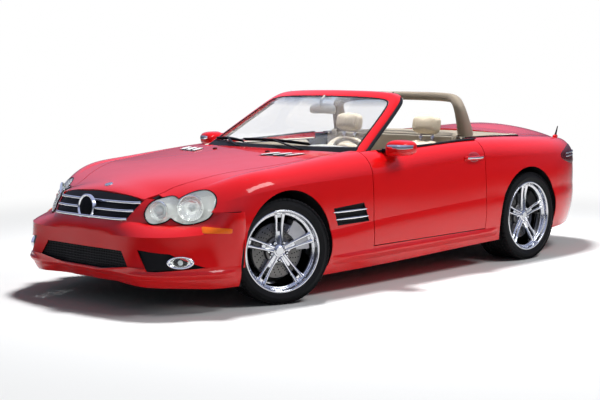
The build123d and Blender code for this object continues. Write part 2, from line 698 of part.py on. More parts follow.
# ---- cabin --------------------------------------------------------------------
CABIN_FLOOR = FLOOR_Z + FLOOR_T
TRIM_Y = DOOR_IN - 12
with BuildPart() as dashboard:
    with BuildSketch(Plane(origin=(0, 0, 0), x_dir=(1, 0, 0), z_dir=(0, -1, 0)).offset(-TRIM_Y)):
        with BuildLine():
            Polyline((598, 600), (598, 872), (520, 872))
            ThreePointArc((520, 872), (390, 852), (345, 790))
            Polyline((345, 790), (380, 700), (430, 600), (598, 600))
        make_face()
    extrude(amount=2 * TRIM_Y)
    add(block(-330, 598, -105, 105, CABIN_FLOOR, 520))
    add(block(300, 598, -105, 105, CABIN_FLOOR, 700))

WHEEL_C = (209.0, 370.0, 787.0)
COLUMN_RISE = math.radians(22)
COLUMN = Plane(origin=WHEEL_C, x_dir=(0, 1, 0), z_dir=(-math.cos(COLUMN_RISE), 0, math.sin(COLUMN_RISE)))
with BuildPart() as column:
    with BuildSketch(COLUMN.offset(-170)):
        Circle(42)
        Circle(15 + RUN, mode=Mode.SUBTRACT)
    extrude(amount=110)
with BuildPart() as steering_wheel:
    with BuildSketch(Plane(origin=COLUMN.origin + COLUMN.x_dir * 176, x_dir=COLUMN.x_dir,
                           z_dir=COLUMN.z_dir.cross(COLUMN.x_dir))):
        Circle(14)
    revolve(axis=Axis(COLUMN.origin, COLUMN.z_dir))
    with BuildSketch(COLUMN.offset(-26)):
        Circle(70)
        for turn in (0, 180, 90, 270):
            with Locations(Location((0, 0, 0), (0, 0, turn))):
                with Locations((110, 0)):
                    Rectangle(130, 34)
    extrude(amount=26)
    with BuildSketch(COLUMN.offset(-160)):
        Circle(15)
    extrude(amount=140)
save(steering_wheel.part, "steering_wheel")
with BuildPart() as dash:
    add(dashboard.part)
    with BuildSketch(COLUMN.offset(-230)):
        Circle(15 + RUN)
    extrude(amount=170, mode=Mode.SUBTRACT)
    add(column.part)
save(dash.part, "dashboard")

SEAT_Y, SEAT_W = 385.0, 500.0
with BuildPart() as seat:
    with BuildSketch(Plane(origin=(0, SEAT_Y - SEAT_W / 2, 0), x_dir=(1, 0, 0), z_dir=(0, -1, 0))):
        with BuildLine():
            Polyline((-440, CABIN_FLOOR), (20, CABIN_FLOOR), (60, 330), (105, 350), (105, 420), (60, 455),
                     (-300, 425), (-330, 470), (-490, 930), (-545, 945), (-640, 925), (-650, 860),
                     (-500, 330), (-440, CABIN_FLOOR))
        make_face()
    extrude(amount=-SEAT_W)
    with Locations((-585, SEAT_Y, 1010)):
        Box(120, 250, 170)
save_pair(seat.part, "seat")

with BuildPart() as rear_tray:
    add(block(-1281, -689, -692, 692, DECK_Z, 930))
    add(block(-689, -660, -692, 692, 700, 930))
    add([block(-1300, -1235, y - 42, y + 42, DECK_Z - 10, 912) for y in (-330, 330)], mode=Mode.SUBTRACT)
save(rear_tray.part, "rear_tray")

with BuildPart() as roll_bar:
    with BuildLine() as hoop:
        FilletPolyline((-745, -612, 930), (-672, -600, 1175), (-790, -470, 1206), (-790, 470, 1206),
                       (-672, 600, 1175), (-745, 612, 930), radius=70)
    with BuildSketch(Plane(origin=hoop.line @ 0, x_dir=(1, 0, 0), z_dir=hoop.line % 0)):
        RectangleRounded(72, 50, 20)
    sweep()
    add(block(-900, -600, -800, 800, 800, 930), mode=Mode.SUBTRACT)
save(roll_bar.part, "roll_bar")

with BuildPart() as cowl:
    add(block(600, 812, -690, 690, 880, 888))
    add([HOOD_OUT, screen(FRAME_DEEP, 0)], mode=Mode.SUBTRACT)
save(cowl.part, "cowl")
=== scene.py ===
import math
import bpy
import bmesh
from mathutils import Matrix, Vector
from mathutils.bvhtree import BVHTree


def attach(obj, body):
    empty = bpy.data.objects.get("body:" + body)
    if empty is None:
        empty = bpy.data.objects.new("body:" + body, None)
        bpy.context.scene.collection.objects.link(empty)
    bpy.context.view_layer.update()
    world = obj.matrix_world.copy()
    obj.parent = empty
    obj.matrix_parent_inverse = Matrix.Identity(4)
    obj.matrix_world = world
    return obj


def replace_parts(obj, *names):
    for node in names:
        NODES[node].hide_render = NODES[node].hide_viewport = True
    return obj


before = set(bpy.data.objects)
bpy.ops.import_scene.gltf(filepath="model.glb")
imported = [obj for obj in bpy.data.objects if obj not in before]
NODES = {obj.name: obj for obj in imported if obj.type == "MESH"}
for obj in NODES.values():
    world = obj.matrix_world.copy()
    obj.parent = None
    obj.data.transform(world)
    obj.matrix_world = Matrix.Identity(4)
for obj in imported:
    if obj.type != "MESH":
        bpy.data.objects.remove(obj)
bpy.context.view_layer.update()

# Metres; X forward, Y to the car's left, Z up.
TYRE_R = 0.328
FRONT_X, REAR_X = 1.360, -1.182
KINGPIN_Y = 0.746
STEER_REST = -17.5


# ---- shader maths -------------------------------------------------------------
class Val:
    """A shader socket that takes part in sums."""

    def __init__(self, nodes, socket):
        self.nodes, self.socket = nodes, socket

    def of(self, operation, other=0.0, flip=False):
        pair = (other, self) if flip else (self, other)
        return self.nodes.node("ShaderNodeMath", {"operation": operation}, dict(enumerate(pair)))[0]

    def __add__(self, other):
        return self.of("ADD", other)

    def __sub__(self, other):
        return self.of("SUBTRACT", other)

    def __rsub__(self, other):
        return self.of("SUBTRACT", other, True)

    def __mul__(self, other):
        return self.of("MULTIPLY", other)

    def __truediv__(self, other):
        return self.of("DIVIDE", other)

    def __gt__(self, other):
        return self.of("GREATER_THAN", other)

    __radd__, __rmul__ = __add__, __mul__


class Nodes:
    """The nodes of one material or world."""

    def __init__(self, tree):
        self.tree = tree
        tree.nodes.clear()

    def set(self, node, key, value):
        socket = node.inputs[key]
        if isinstance(value, Val):
            self.tree.links.new(value.socket, socket)
        elif hasattr(value, "__len__") and len(value) == 3 and len(socket.default_value) == 4:
            socket.default_value = (*value, 1.0)
        else:
            socket.default_value = value

    def node(self, kind, settings=None, sockets=None):
        """Adds a node and gives its outputs as Vals."""
        made = self.tree.nodes.new(kind)
        for key, value in (settings or {}).items():
            setattr(made, key, value)
        for key, value in (sockets or {}).items():
            self.set(made, key, value)
        return [Val(self, socket) for socket in made.outputs]

    def named(self, kind):
        return {out.socket.name: out for out in self.node(kind)}

    def tint(self, factor, dark, light):
        return self.node("ShaderNodeMix", {"data_type": "RGBA"}, {0: factor, 6: dark, 7: light})[2]


class Finish(Nodes):
    """One material with a principled surface."""

    def __init__(self, name, **constants):
        self.mat = bpy.data.materials.new(name)
        self.mat.use_nodes = True
        super().__init__(self.mat.node_tree)
        self.bsdf = self.tree.nodes.new("ShaderNodeBsdfPrincipled")
        self.node("ShaderNodeOutputMaterial", {}, {"Surface": Val(self, self.bsdf.outputs[0])})
        for key, value in constants.items():
            self.set(self.bsdf, key.replace("_", " "), value)

    def coat(self, colour, rough, normal=None, alpha=None):
        """Feeds what changes over the surface, and gives the material."""
        for key, value in (("Base Color", colour), ("Roughness", rough), ("Normal", normal), ("Alpha", alpha)):
            if value is not None:
                self.set(self.bsdf, key, value)
        return self.mat

    def coords(self, centre=None, turn=(0, 0, 0)):
        place = self.named("ShaderNodeTexCoord")["Object"]
        if centre is None:
            return place
        moved = self.node("ShaderNodeVectorMath", {"operation": "SUBTRACT"}, {0: place, 1: centre})[0]
        return self.node("ShaderNodeMapping", {"vector_type": "TEXTURE"},
                         {"Vector": moved, "Rotation": turn})[0]

    def noise(self, scale, detail=3.0, rough=0.5, at=None):
        return self.node("ShaderNodeTexNoise", {}, {"Vector": at or self.coords(), "Scale": scale,
                                                    "Detail": detail, "Roughness": rough})[0]

    def web(self, at, scale, **sockets):
        return self.node("ShaderNodeTexVoronoi", {"feature": "DISTANCE_TO_EDGE"},
                         {"Vector": at, "Scale": scale, **sockets})[0]

    def relief(self, height, strength, distance=0.001):
        return self.node("ShaderNodeBump", {}, {"Strength": strength, "Distance": distance, "Height": height})[0]


def shade(colour, k):
    return tuple(min(1.0, c * k) for c in colour)


def plain(name, colour, rough, metal=0.0, vary=0.06, cloud=14.0, grain=900.0, bump=0.06, spread=0.08, **constants):
    """Moulded, painted or plated surface: slow cloud of colour, fine grain in the relief."""
    f = Finish(name, Metallic=metal, **constants)
    at = f.coords()
    slow = f.noise(cloud, 4.0, at=at)
    return f.coat(f.tint(slow, shade(colour, 1 - vary), shade(colour, 1 + vary)),
                  slow * spread + (rough - spread / 2), f.relief(f.noise(grain, 2.0, at=at), bump))


def chrome(name, colour=(0.80, 0.81, 0.83), rough=0.07):
    return plain(name, colour, rough, 1.0, vary=0.03, cloud=26.0, grain=500.0, bump=0.012, spread=0.05)


def red_paint(red=(0.62, 0.0045, 0.005), grazing_sheen_red=(0.70, 0.010, 0.020)):
    """Clear coat with a little orange peel over fine flake; towards the grazing edges the colour lifts to a brighter,
    pinker red, a painted sheen.
    """
    f = Finish("red_paint", Coat_Weight=1.0, Coat_Roughness=0.025, Coat_IOR=1.36, Specular_IOR_Level=0.04,
               Metallic=0.0)
    at = f.coords()
    # painted sheen: the base colour turns brighter and pinker where the surface is seen edge-on
    edge = f.node("ShaderNodeLayerWeight", {}, {"Blend": 0.35})[1]
    base = f.tint(f.noise(2600.0, 1.0, at=at), shade(red, 0.93), shade(red, 1.05))
    dust = f.noise(5.0, 5.0, 0.6, at=at)
    return f.coat(f.tint(edge * 0.18, base, grazing_sheen_red), dust * 0.10 + 0.26,
                  f.relief(f.noise(160.0, 2.0, at=at), 0.012))


def leather(name, colour):
    """Grained hide with slow wear."""
    f = Finish(name, Sheen_Weight=0.08, Specular_IOR_Level=0.35)
    at = f.coords()
    cells = f.web(at, 520.0)
    crease = f.noise(60.0, 6.0, 0.6, at=at)
    wear = f.noise(9.0, 4.0, at=at) * 0.6 + crease * 0.4
    return f.coat(f.tint(wear, shade(colour, 0.86), shade(colour, 1.08)), crease * 0.14 + 0.46,
                  f.relief(cells.of("MINIMUM", 0.12) * 4.0 + crease * 0.7, 0.28, 0.0008))


def woven(name, colour, scale=700.0):
    """Short-pile carpet or cloth."""
    f = Finish(name, Sheen_Weight=0.25, Sheen_Roughness=0.6)
    at = f.coords()
    tuft = f.noise(scale, 2.0, at=at)
    slow = f.noise(11.0, 3.0, at=at)
    return f.coat(f.tint(tuft * 0.7 + slow * 0.3, shade(colour, 0.72), shade(colour, 1.15)), tuft * 0.1 + 0.86,
                  f.relief(tuft, 0.6, 0.0015))


def meshwork(name, pitch, open_share, colour):
    """Black honeycomb: thin webs with the holes between them painted near-black as shade, in the plane across X."""
    f = Finish(name, Specular_IOR_Level=0.2)
    at = f.node("ShaderNodeMapping", {}, {"Vector": f.coords(), "Scale": (0.001, 1 / pitch, 1 / pitch)})[0]
    web = f.web(at, 1.0, Randomness=0.15)
    hole = web > open_share
    # the holes get near-black colour: painted shade, not openings
    return f.coat(f.tint(hole, colour, (0.002, 0.002, 0.002)), hole * 0.4 + 0.45,
                  f.relief(web.of("MINIMUM", open_share) * -6.0, 0.8, 0.003))


def rubber():
    f = Finish("tyre_rubber", Specular_IOR_Level=0.12)
    at = f.coords()
    dust = f.noise(16.0, 5.0, 0.65, at=at)
    return f.coat(f.tint(dust, (0.004, 0.004, 0.0045), (0.011, 0.011, 0.012)), dust * 0.22 + 0.50,
                  f.relief(f.noise(1400.0, 2.0, at=at), 0.25, 0.0008))


def glass(name, colour, rough=0.0, alpha=1.0):
    f = Finish(name, Transmission_Weight=1.0, IOR=1.45)
    smear = f.noise(22.0, 3.0)
    return f.coat(f.tint(smear, shade(colour, 0.985), colour), smear * 0.012 + rough, alpha=alpha)


def screen_glass(band_foot=1.165, band_height=0.06):
    """Clear glass with a blue band that fades down from the top edge."""
    f = Finish("screen_glass", Transmission_Weight=1.0, IOR=1.45)
    at = f.coords()
    height = f.node("ShaderNodeSeparateXYZ", {}, {0: at})[2]
    band = ((height - band_foot) / band_height).of("MAXIMUM", 0.0).of("MINIMUM", 1.0)
    smear = f.noise(18.0, 3.0, at=at)
    return f.coat(f.tint(band * 0.75 + smear * 0.02, (0.98, 0.995, 0.99), (0.20, 0.42, 0.78)), smear * 0.01,
                  alpha=band * 0.55 + 0.12)


def disc_steel(centre, turn):
    """Machined steel with fine rings about the axle."""
    f = Finish("brake_disc_steel", Metallic=1.0)
    parts = f.node("ShaderNodeSeparateXYZ", {}, {0: f.coords(centre, turn)})
    far = (parts[0] * parts[0] + parts[1] * parts[1]).of("SQRT")
    rings = f.noise(1.0, 3.0, at=f.node("ShaderNodeCombineXYZ", {}, {0: far * 900.0})[0])
    return f.coat(f.tint(rings, (0.085, 0.083, 0.080), (0.17, 0.166, 0.160)), rings * 0.2 + 0.22,
                  f.relief(rings, 0.12))


PAINT = red_paint()
# body red painted darker for the cup behind the door handle: painted shade in the recess
PAINTED_SHADE_RED = plain("handle_cup_painted_shade", (0.40, 0.006, 0.008), 0.30, vary=0.08, bump=0.01, Coat_Weight=1.0)
TYRE = rubber()
CHROME = chrome("polished_chrome")
RIM = chrome("rim_plating", (0.60, 0.61, 0.63), 0.07)
SATIN = chrome("satin_alloy", (0.62, 0.63, 0.65), 0.26)
MIRROR = chrome("mirror_glass", (0.78, 0.80, 0.82), 0.02)
REFLECTOR = chrome("lamp_reflector", (0.86, 0.88, 0.86), 0.09)
PLATE = plain("blank_plate_white", (0.72, 0.72, 0.70), 0.35, vary=0.04, bump=0.02)
BLACK = plain("black_moulding", (0.009, 0.009, 0.010), 0.50, vary=0.25, bump=0.12, Specular_IOR_Level=0.10)
GLOSS_BLACK = plain("gloss_black", (0.005, 0.005, 0.006), 0.22, vary=0.1, bump=0.01, Specular_IOR_Level=0.12)
SEAL = plain("door_seal_rubber", (0.012, 0.013, 0.016), 0.55, vary=0.3, bump=0.2, Specular_IOR_Level=0.15)
SOOT = plain("pipe_soot", (0.012, 0.011, 0.010), 0.9, vary=0.4, cloud=60.0, bump=0.4)
UNDER = plain("underbody_sealer", (0.010, 0.010, 0.011), 0.75, vary=0.3, grain=260.0, bump=0.5,
              Specular_IOR_Level=0.2)
CAST = plain("cast_alloy", (0.42, 0.42, 0.43), 0.42, 0.9, vary=0.12, grain=420.0, bump=0.35)
STEEL = plain("dulled_steel", (0.30, 0.28, 0.26), 0.38, 1.0, vary=0.2, grain=300.0, bump=0.1)
MESH = meshwork("grille_mesh", 0.016, 0.10, (0.010, 0.010, 0.011))
LEATHER = leather("beige_leather", (0.70, 0.61, 0.47))
WHEEL_LEATHER = leather("wheel_leather", (0.34, 0.285, 0.215))
PALE = leather("pale_trim", (0.66, 0.60, 0.50))
TAUPE = leather("taupe_trim", (0.27, 0.225, 0.17))
GREY_TRIM = leather("grey_beige_trim", (0.56, 0.545, 0.50))
CARPET = woven("beige_carpet", (0.40, 0.34, 0.26))
COVER = woven("roof_well_cloth", (0.33, 0.28, 0.215), 1600.0)
BELT = woven("belt_webbing", (0.30, 0.26, 0.20), 1400.0)
SCREEN = screen_glass()
LENS = glass("clear_lens", (0.97, 0.985, 0.98), alpha=0.75)
RED_LENS = glass("red_lens", (0.75, 0.02, 0.03), 0.02)
TAIL_RED = plain("tail_lens_red", (0.075, 0.003, 0.004), 0.20, vary=0.12, cloud=60.0, bump=0.01,
                 Specular_IOR_Level=0.25)
AMBER = plain("amber_lens", (0.82, 0.15, 0.01), 0.20, vary=0.1, cloud=60.0, bump=0.02, Specular_IOR_Level=0.2)
LAMP_GREY = plain("lamp_housing_grey", (0.80, 0.82, 0.80), 0.30, 0.15, vary=0.1, cloud=30.0, bump=0.02)
BULB = plain("projector_glass", (0.55, 0.60, 0.62), 0.04, 0.2, vary=0.15, cloud=60.0, bump=0.01, Coat_Weight=1.0)

NODE_FINISH = (
    ("floor_tub", UNDER), ("engine_block", CAST), ("exhaust", STEEL), ("front_axle", UNDER),
    ("rear_axle", UNDER), ("knuckle", CAST), ("tyre", TYRE), ("rim", RIM), ("grille", BLACK),
    ("lower_grille", MESH), ("fog_lamp", BLACK), ("head_lamp", LENS), ("tail_lamp", RED_LENS),
    ("gill", BLACK), ("cowl", BLACK), ("windscreen_frame", PAINT), ("windscreen", SCREEN),
    ("dashboard", PALE), ("seat", LEATHER), ("rear_tray", PALE), ("roll_bar", TAUPE),
    ("steering_wheel", LEATHER), ("", PAINT),
)


def finish_of(node_name):
    return next(mat for start, mat in NODE_FINISH if node_name.startswith(start))


for node_name, node in NODES.items():
    node.data.materials.clear()
    node.data.materials.append(finish_of(node_name))


# ---- repeats ------------------------------------------------------------------
def round_tree():
    """Geometry Nodes: the piece's own mesh set round a circle and made real."""
    tree = bpy.data.node_groups.new("set_round", "GeometryNodeTree")
    for label, sort in (("Seed piece", "Geometry"), ("Count", "Int"), ("Start turn", "Float"),
                        ("Finish", "Material")):
        tree.interface.new_socket(label, in_out="INPUT", socket_type="NodeSocket" + sort)
    tree.interface.new_socket("Pieces", in_out="OUTPUT", socket_type="NodeSocketGeometry")
    n = Nodes(tree)
    given = n.named("NodeGroupInput")
    points = n.node("GeometryNodeMeshLine", {}, {"Count": given["Count"], "Start Location": Vector(),
                                                 "Offset": Vector()})[0]
    share = n.node("GeometryNodeInputIndex")[0] / given["Count"]
    turn = n.node("ShaderNodeMath", {"operation": "MULTIPLY_ADD"}, {0: share, 1: math.tau, 2: given["Start turn"]})[0]
    spin = n.node("ShaderNodeCombineXYZ", {}, {"Z": turn})[0]
    placed = n.node("GeometryNodeInstanceOnPoints", {}, {"Points": points, "Instance": given["Seed piece"],
                                                         "Rotation": spin})[0]
    real = n.node("GeometryNodeRealizeInstances", {}, {0: placed})[0]
    coated = n.node("GeometryNodeSetMaterial", {}, {"Geometry": real, "Material": given["Finish"]})[0]
    n.node("NodeGroupOutput", {}, {0: coated})
    return tree


ROUND_TREE = round_tree()


# ---- making pieces ------------------------------------------------------------
SQUARE = ((-1, -1), (1, -1), (1, 1), (-1, 1))
SHAPED = {}             # copies that stand for reshaped nodes, by the node's name


def steps(count, start=0.0, end=1.0):
    """Even shares from start to end, both ends in."""
    return [start + (end - start) * k / count for k in range(count + 1)]


def round_steps(count):
    return [math.tau * i / count for i in range(count)]


def blunt(value, power):
    """Power of a signed number that keeps its sign."""
    return math.copysign(abs(value) ** power, value)


def polar(turn, rise=0.0):
    return Vector((math.cos(turn), math.sin(turn), rise))


def facing(point, way):
    """Place at point with local Z along way."""
    return Matrix.Translation(point) @ Vector(way).to_track_quat("Z", "Y").to_matrix().to_4x4()


def linked(name, mesh):
    obj = bpy.data.objects.new(name, mesh)
    bpy.context.scene.collection.objects.link(obj)
    return obj


def realised(obj):
    """Plain mesh of the object with its modifiers applied."""
    return bpy.data.meshes.new_from_object(obj.evaluated_get(bpy.context.evaluated_depsgraph_get()))


class Form:
    """Collects vertices and faces of one mesh."""

    def __init__(self):
        self.verts, self.faces = [], []

    def add(self, verts, faces, place=None):
        start = len(self.verts)
        self.verts += [place @ Vector(v) if place else Vector(v) for v in verts]
        self.faces += [tuple(i + start for i in face) for face in faces]
        return self

    def join(self, other, place=None):
        return self.add(other.verts, other.faces, place)

    def moved(self, matrix):
        self.verts = [matrix @ v for v in self.verts]
        return self

    def mirrored(self):
        return Form().add([(v.x, -v.y, v.z) for v in self.verts], [tuple(reversed(f)) for f in self.faces])

    def rows(self, rings, closed=True, capped=True, looped=False):
        """Skin over a list of equal rings of points."""
        start, n = len(self.verts), len(rings[0])
        for ring in rings:
            self.verts += [Vector(p) for p in ring]
        pairs = list(zip(range(len(rings)), range(1, len(rings))))
        if looped:
            pairs.append((len(rings) - 1, 0))
        for a, b in pairs:
            for i in range(n if closed else n - 1):
                j = (i + 1) % n
                self.faces.append((start + a * n + i, start + a * n + j, start + b * n + j, start + b * n + i))
        if capped and closed and not looped:
            last = start + (len(rings) - 1) * n
            self.faces.append(tuple(start + i for i in reversed(range(n))))
            self.faces.append(tuple(last + i for i in range(n)))
        return self

    def sheet(self, rings):
        """Open skin over rows of points."""
        return self.rows(rings, closed=False)

    def spun(self, profile, count=96, closed=False, place=None):
        """Profile (radius, height) turned about local Z."""
        rings = [[(r * math.cos(t), r * math.sin(t), z) for r, z in profile] for t in round_steps(count)]
        return self.join(Form().rows(rings, closed=closed, looped=True), place)

    def sweep(self, path, profile, up=(0, 0, 1), looped=False, sizes=None):
        """Profile (across, up) carried along a path of points."""
        path = [Vector(p) for p in path]
        count, rings = len(path), []
        for i, p in enumerate(path):
            if looped:
                along = path[(i + 1) % count] - path[i - 1]
            else:
                along = path[min(i + 1, count - 1)] - path[max(i - 1, 0)]
            along.normalize()
            across = along.cross(Vector(up(p) if callable(up) else up)).normalized()
            lift = across.cross(along).normalized()
            k = sizes[i] if sizes else 1.0
            rings.append([p + across * (a * k) + lift * (b * k) for a, b in profile])
        return self.rows(rings, looped=looped)

    def repeated(self, count, mat, turn=0.0):
        """The form set count times round local Z by Geometry Nodes, as a new Form."""
        mesh = bpy.data.meshes.new("seed")
        mesh.from_pydata([tuple(v) for v in self.verts], [], self.faces)
        obj = linked("seed", mesh)
        modifier = obj.modifiers.new("repeat", "NODES")
        modifier.node_group = ROUND_TREE
        wanted = {"Count": count, "Start turn": turn, "Finish": mat}
        for item in ROUND_TREE.interface.items_tree:
            if item.in_out == "INPUT" and item.name in wanted:
                modifier[item.identifier] = wanted[item.name]
        bpy.context.view_layer.update()
        real = realised(obj)
        out = Form().add([v.co for v in real.vertices], [tuple(p.vertices) for p in real.polygons])
        bpy.data.objects.remove(obj)
        for spare in (mesh, real):
            bpy.data.meshes.remove(spare)
        return out

    def make(self, name, mat, body="body", slot=None, sharp=35.0):
        """The finished piece on its body."""
        mesh = bpy.data.meshes.new(name)
        mesh.from_pydata([tuple(v) for v in self.verts], [], self.faces)
        mesh.materials.append(mat)
        obj = linked(name, mesh)
        bm = bmesh.new()
        bm.from_mesh(mesh)
        bmesh.ops.remove_doubles(bm, verts=bm.verts, dist=1e-6)
        bmesh.ops.recalc_face_normals(bm, faces=bm.faces)
        bm.to_mesh(mesh)
        bm.free()
        mesh.shade_smooth()
        mesh.set_sharp_from_angle(angle=math.radians(sharp))
        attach(obj, body)
        return obj

    def pair(self, name, mat, body="body", **more):
        """The piece on the left and its mirror image; {} in body takes the side."""
        return [form.make(name + "_" + side, mat, body.format(side), **more)
                for form, side in ((self, "left"), (self.mirrored(), "right"))]


def circle(radius, count=12):
    return [(radius * math.cos(t), radius * math.sin(t)) for t in round_steps(count)]


def bar_profile(width, height, bevel):
    """Rounded rectangle, corner cut in two steps."""
    w, h = width / 2, height / 2
    out = []
    for sx, sy, flip in ((1, 1, 0), (-1, 1, 1), (-1, -1, 0), (1, -1, 1)):
        corner = [(sx * w, sy * (h - bevel)), (sx * (w - bevel * 0.3), sy * (h - bevel * 0.3)),
                  (sx * (w - bevel), sy * h)]
        out += corner[::-1] if flip else corner
    return out


def smooth_line(points, count):
    """Catmull-Rom curve through points, count steps to each span."""
    pts = [Vector(p) for p in points]
    out = []
    for i in range(len(pts) - 1):
        p0, p1, p2, p3 = pts[max(i - 1, 0)], pts[i], pts[i + 1], pts[min(i + 2, len(pts) - 1)]
        for t in (k / count for k in range(count)):
            out.append(0.5 * ((2 * p1) + (p2 - p0) * t + (2 * p0 - 5 * p1 + 4 * p2 - p3) * t * t
                              + (3 * p1 - p0 - 3 * p2 + p3) * t ** 3))
    return out + [pts[-1]]


def lathe_profile(points, rounding=0.0012):
    """Profile with each inner corner cut in two, so that edges catch light."""
    out = [points[0]]
    for a, b, c in zip(points, points[1:], points[2:]):
        for p in (a, c):
            k = min(rounding / math.hypot(p[0] - b[0], p[1] - b[1]), 0.4)
            out.append((b[0] + (p[0] - b[0]) * k, b[1] + (p[1] - b[1]) * k))
    return out + [points[-1]]


def thickened(obj, thickness, offset=-1.0):
    wall = obj.modifiers.new("wall", "SOLIDIFY")
    wall.thickness, wall.offset = thickness, offset
    return obj


class Skin:
    """Search tree over CAD nodes, or over a form, for laying trim on the surface."""

    def __init__(self, *names, form=None):
        whole = Form().join(form) if form else Form()
        for name in names:
            mesh = SHAPED.get(name, NODES[name]).data
            whole.add([v.co for v in mesh.vertices], [tuple(p.vertices) for p in mesh.polygons])
        self.tree = BVHTree.FromPolygons([tuple(v) for v in whole.verts], whole.faces)

    def hit(self, start, way, lift=0.0):
        """Point where a ray meets the skin, lifted along the outward normal, and that normal."""
        way = Vector(way).normalized()
        spot, normal, _, _ = self.tree.ray_cast(Vector(start), way)
        if spot is None:
            spot, normal, _, _ = self.tree.find_nearest(Vector(start))
        if normal.dot(way) > 0:
            normal = -normal
        return spot + normal * lift, normal

    def top(self, x, y, lift=0.0):
        return self.hit((x, y, 1.4), (0, 0, -1), lift)

    def side(self, x, z):
        return self.hit((x, 1.3, z), (0, -1, 0))

    def front(self, y, z):
        return self.hit((2.6, y, z), (-1, 0, 0))

    def back(self, y, z):
        return self.hit((-3.0, y, z), (1, 0, 0))


TAPER_X, TAPER_RUN, TAPER = -1.50, 0.65, 0.15
CROWN, CROWN_Y, CROWN_Z, CROWN_FADE = 0.030, 0.62, 0.72, 0.12


def tapered(p):
    """The tail drawn in towards its corners, and its deck crowned a little more."""
    t = min(max((TAPER_X - p.x) / TAPER_RUN, 0.0), 1.08)
    crown = (CROWN * min(t * 2.2, 1.0) * max(0.0, 1 - (p.y / CROWN_Y) ** 2)
             * min(1.0, max(0.0, (p.z - CROWN_Z) / CROWN_FADE)))
    return Vector((p.x, p.y * (1 - TAPER * t * t), p.z + crown))


def reshaped(name, body="body"):
    """A copy of a CAD node's mesh, merged, with the tail's taper; it stands for the node."""
    mesh = NODES[name].data
    form = Form().add([tapered(v.co) for v in mesh.vertices], [tuple(q.vertices) for q in mesh.polygons])
    SHAPED[name] = form.make("dressed_" + name, finish_of(name), body, sharp=30)
    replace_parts(SHAPED[name], name)


# ---- light, floor and camera --------------------------------------------------
WHITE = (1.0, 1.0, 1.0)
SOFT_SKY, SOFT_STRENGTH = (0.74, 0.86, 1.0), 0.13
GLINT_TONE = (0.60, 0.67, 1.0)
FLOOR_GREY, FLOOR_FADE, FLOOR_HALF = (0.74, 0.74, 0.74), (2.6, 6.5), 40
LAMPS = (   # name, place, aim, sides, watts
    ("key", (-1.2, 5.2, 6.2), (0.0, 0, 0.6), (4.0, 2.0), 270.0),
    ("front", (8.0, 2.5, 3.5), (0.8, 0, 0.6), (4.0, 2.5), 7.0),
    ("top", (-0.4, -0.2, 7.0), (0, 0, 0.0), (1.2, 1.0), 760.0))
CAMERA_PLACE, CAMERA_TURN, CAMERA_LENS = (7.0425, 6.5878, 1.4625), (224.60, -5.82, -0.364), 79.65


def studio():
    """White to the camera and through glass, a bluish climb of white in reflections, soft light."""
    world = bpy.data.worlds.new("studio")
    bpy.context.scene.world = world
    world.use_nodes = True
    w = Nodes(world.node_tree)
    rays = w.named("ShaderNodeLightPath")
    seen = rays["Is Camera Ray"].of("MAXIMUM", rays["Is Transmission Ray"])
    height = w.node("ShaderNodeSeparateXYZ", {}, {0: w.named("ShaderNodeTexCoord")["Generated"]})[2]
    climb = w.node("ShaderNodeMapRange", {}, {"Value": height, "From Min": 0.0, "From Max": 0.42,
                                              "To Min": 0.12, "To Max": 0.78})[0]
    soft = w.node("ShaderNodeBackground", {}, {"Color": SOFT_SKY, "Strength": SOFT_STRENGTH})[0]
    white = w.node("ShaderNodeBackground", {}, {"Color": w.tint(seen, GLINT_TONE, WHITE),
                                                "Strength": seen.of("MAXIMUM", rays["Is Glossy Ray"] * climb)})[0]
    mixed = w.node("ShaderNodeMixShader", {}, {0: seen.of("MAXIMUM", rays["Is Glossy Ray"]), 1: soft, 2: white})[0]
    w.node("ShaderNodeOutputWorld", {}, {"Surface": mixed})
    for name, place, aim, size, power in LAMPS:
        data = bpy.data.lights.new(name, "AREA")
        data.shape = "RECTANGLE"
        data.size, data.size_y = size
        data.energy = power
        lamp = linked(name, data)
        lamp.location = place
        lamp.visible_glossy = name != "top"
        lamp.rotation_euler = (Vector(aim) - Vector(place)).to_track_quat("-Z", "Y").to_euler()


def floor():
    """Pale floor that turns to plain white away from the car."""
    mesh = bpy.data.meshes.new("studio_floor")
    mesh.from_pydata([(FLOOR_HALF * a, FLOOR_HALF * b, 0) for a, b in SQUARE], [], [(0, 1, 2, 3)])
    mat = bpy.data.materials.new("studio_floor")
    mat.use_nodes = True
    f = Nodes(mat.node_tree)
    rays = f.named("ShaderNodeLightPath")
    far = f.node("ShaderNodeVectorMath", {"operation": "LENGTH"}, {0: f.named("ShaderNodeTexCoord")["Object"]})[1]
    fade = f.node("ShaderNodeMapRange", {"interpolation_type": "SMOOTHERSTEP"},
                  {"Value": far, "From Min": FLOOR_FADE[0], "From Max": FLOOR_FADE[1]})[0]
    share = rays["Is Camera Ray"].of("MAXIMUM", rays["Is Transmission Ray"]) * fade
    matt = f.node("ShaderNodeBsdfDiffuse", {}, {"Color": FLOOR_GREY})[0]
    glow = f.node("ShaderNodeEmission", {}, {"Color": WHITE, "Strength": 1.0})[0]
    mixed = f.node("ShaderNodeMixShader", {}, {0: share, 1: matt, 2: glow})[0]
    f.node("ShaderNodeOutputMaterial", {}, {"Surface": mixed})
    mesh.materials.append(mat)
    linked("studio_floor", mesh)


def camera():
    data = bpy.data.cameras.new("camera")
    data.lens, data.sensor_width, data.clip_end = CAMERA_LENS, 36.0, 200.0
    cam = linked("camera", data)
    cam.location = CAMERA_PLACE
    yaw, pitch, roll = (math.radians(a) for a in CAMERA_TURN)
    look = Vector((math.cos(yaw) * math.cos(pitch), math.sin(yaw) * math.cos(pitch), math.sin(pitch)))
    cam.rotation_euler = (look.to_track_quat("-Z", "Y").to_matrix() @ Matrix.Rotation(roll, 3, "Z")).to_euler()
    bpy.context.scene.camera = cam


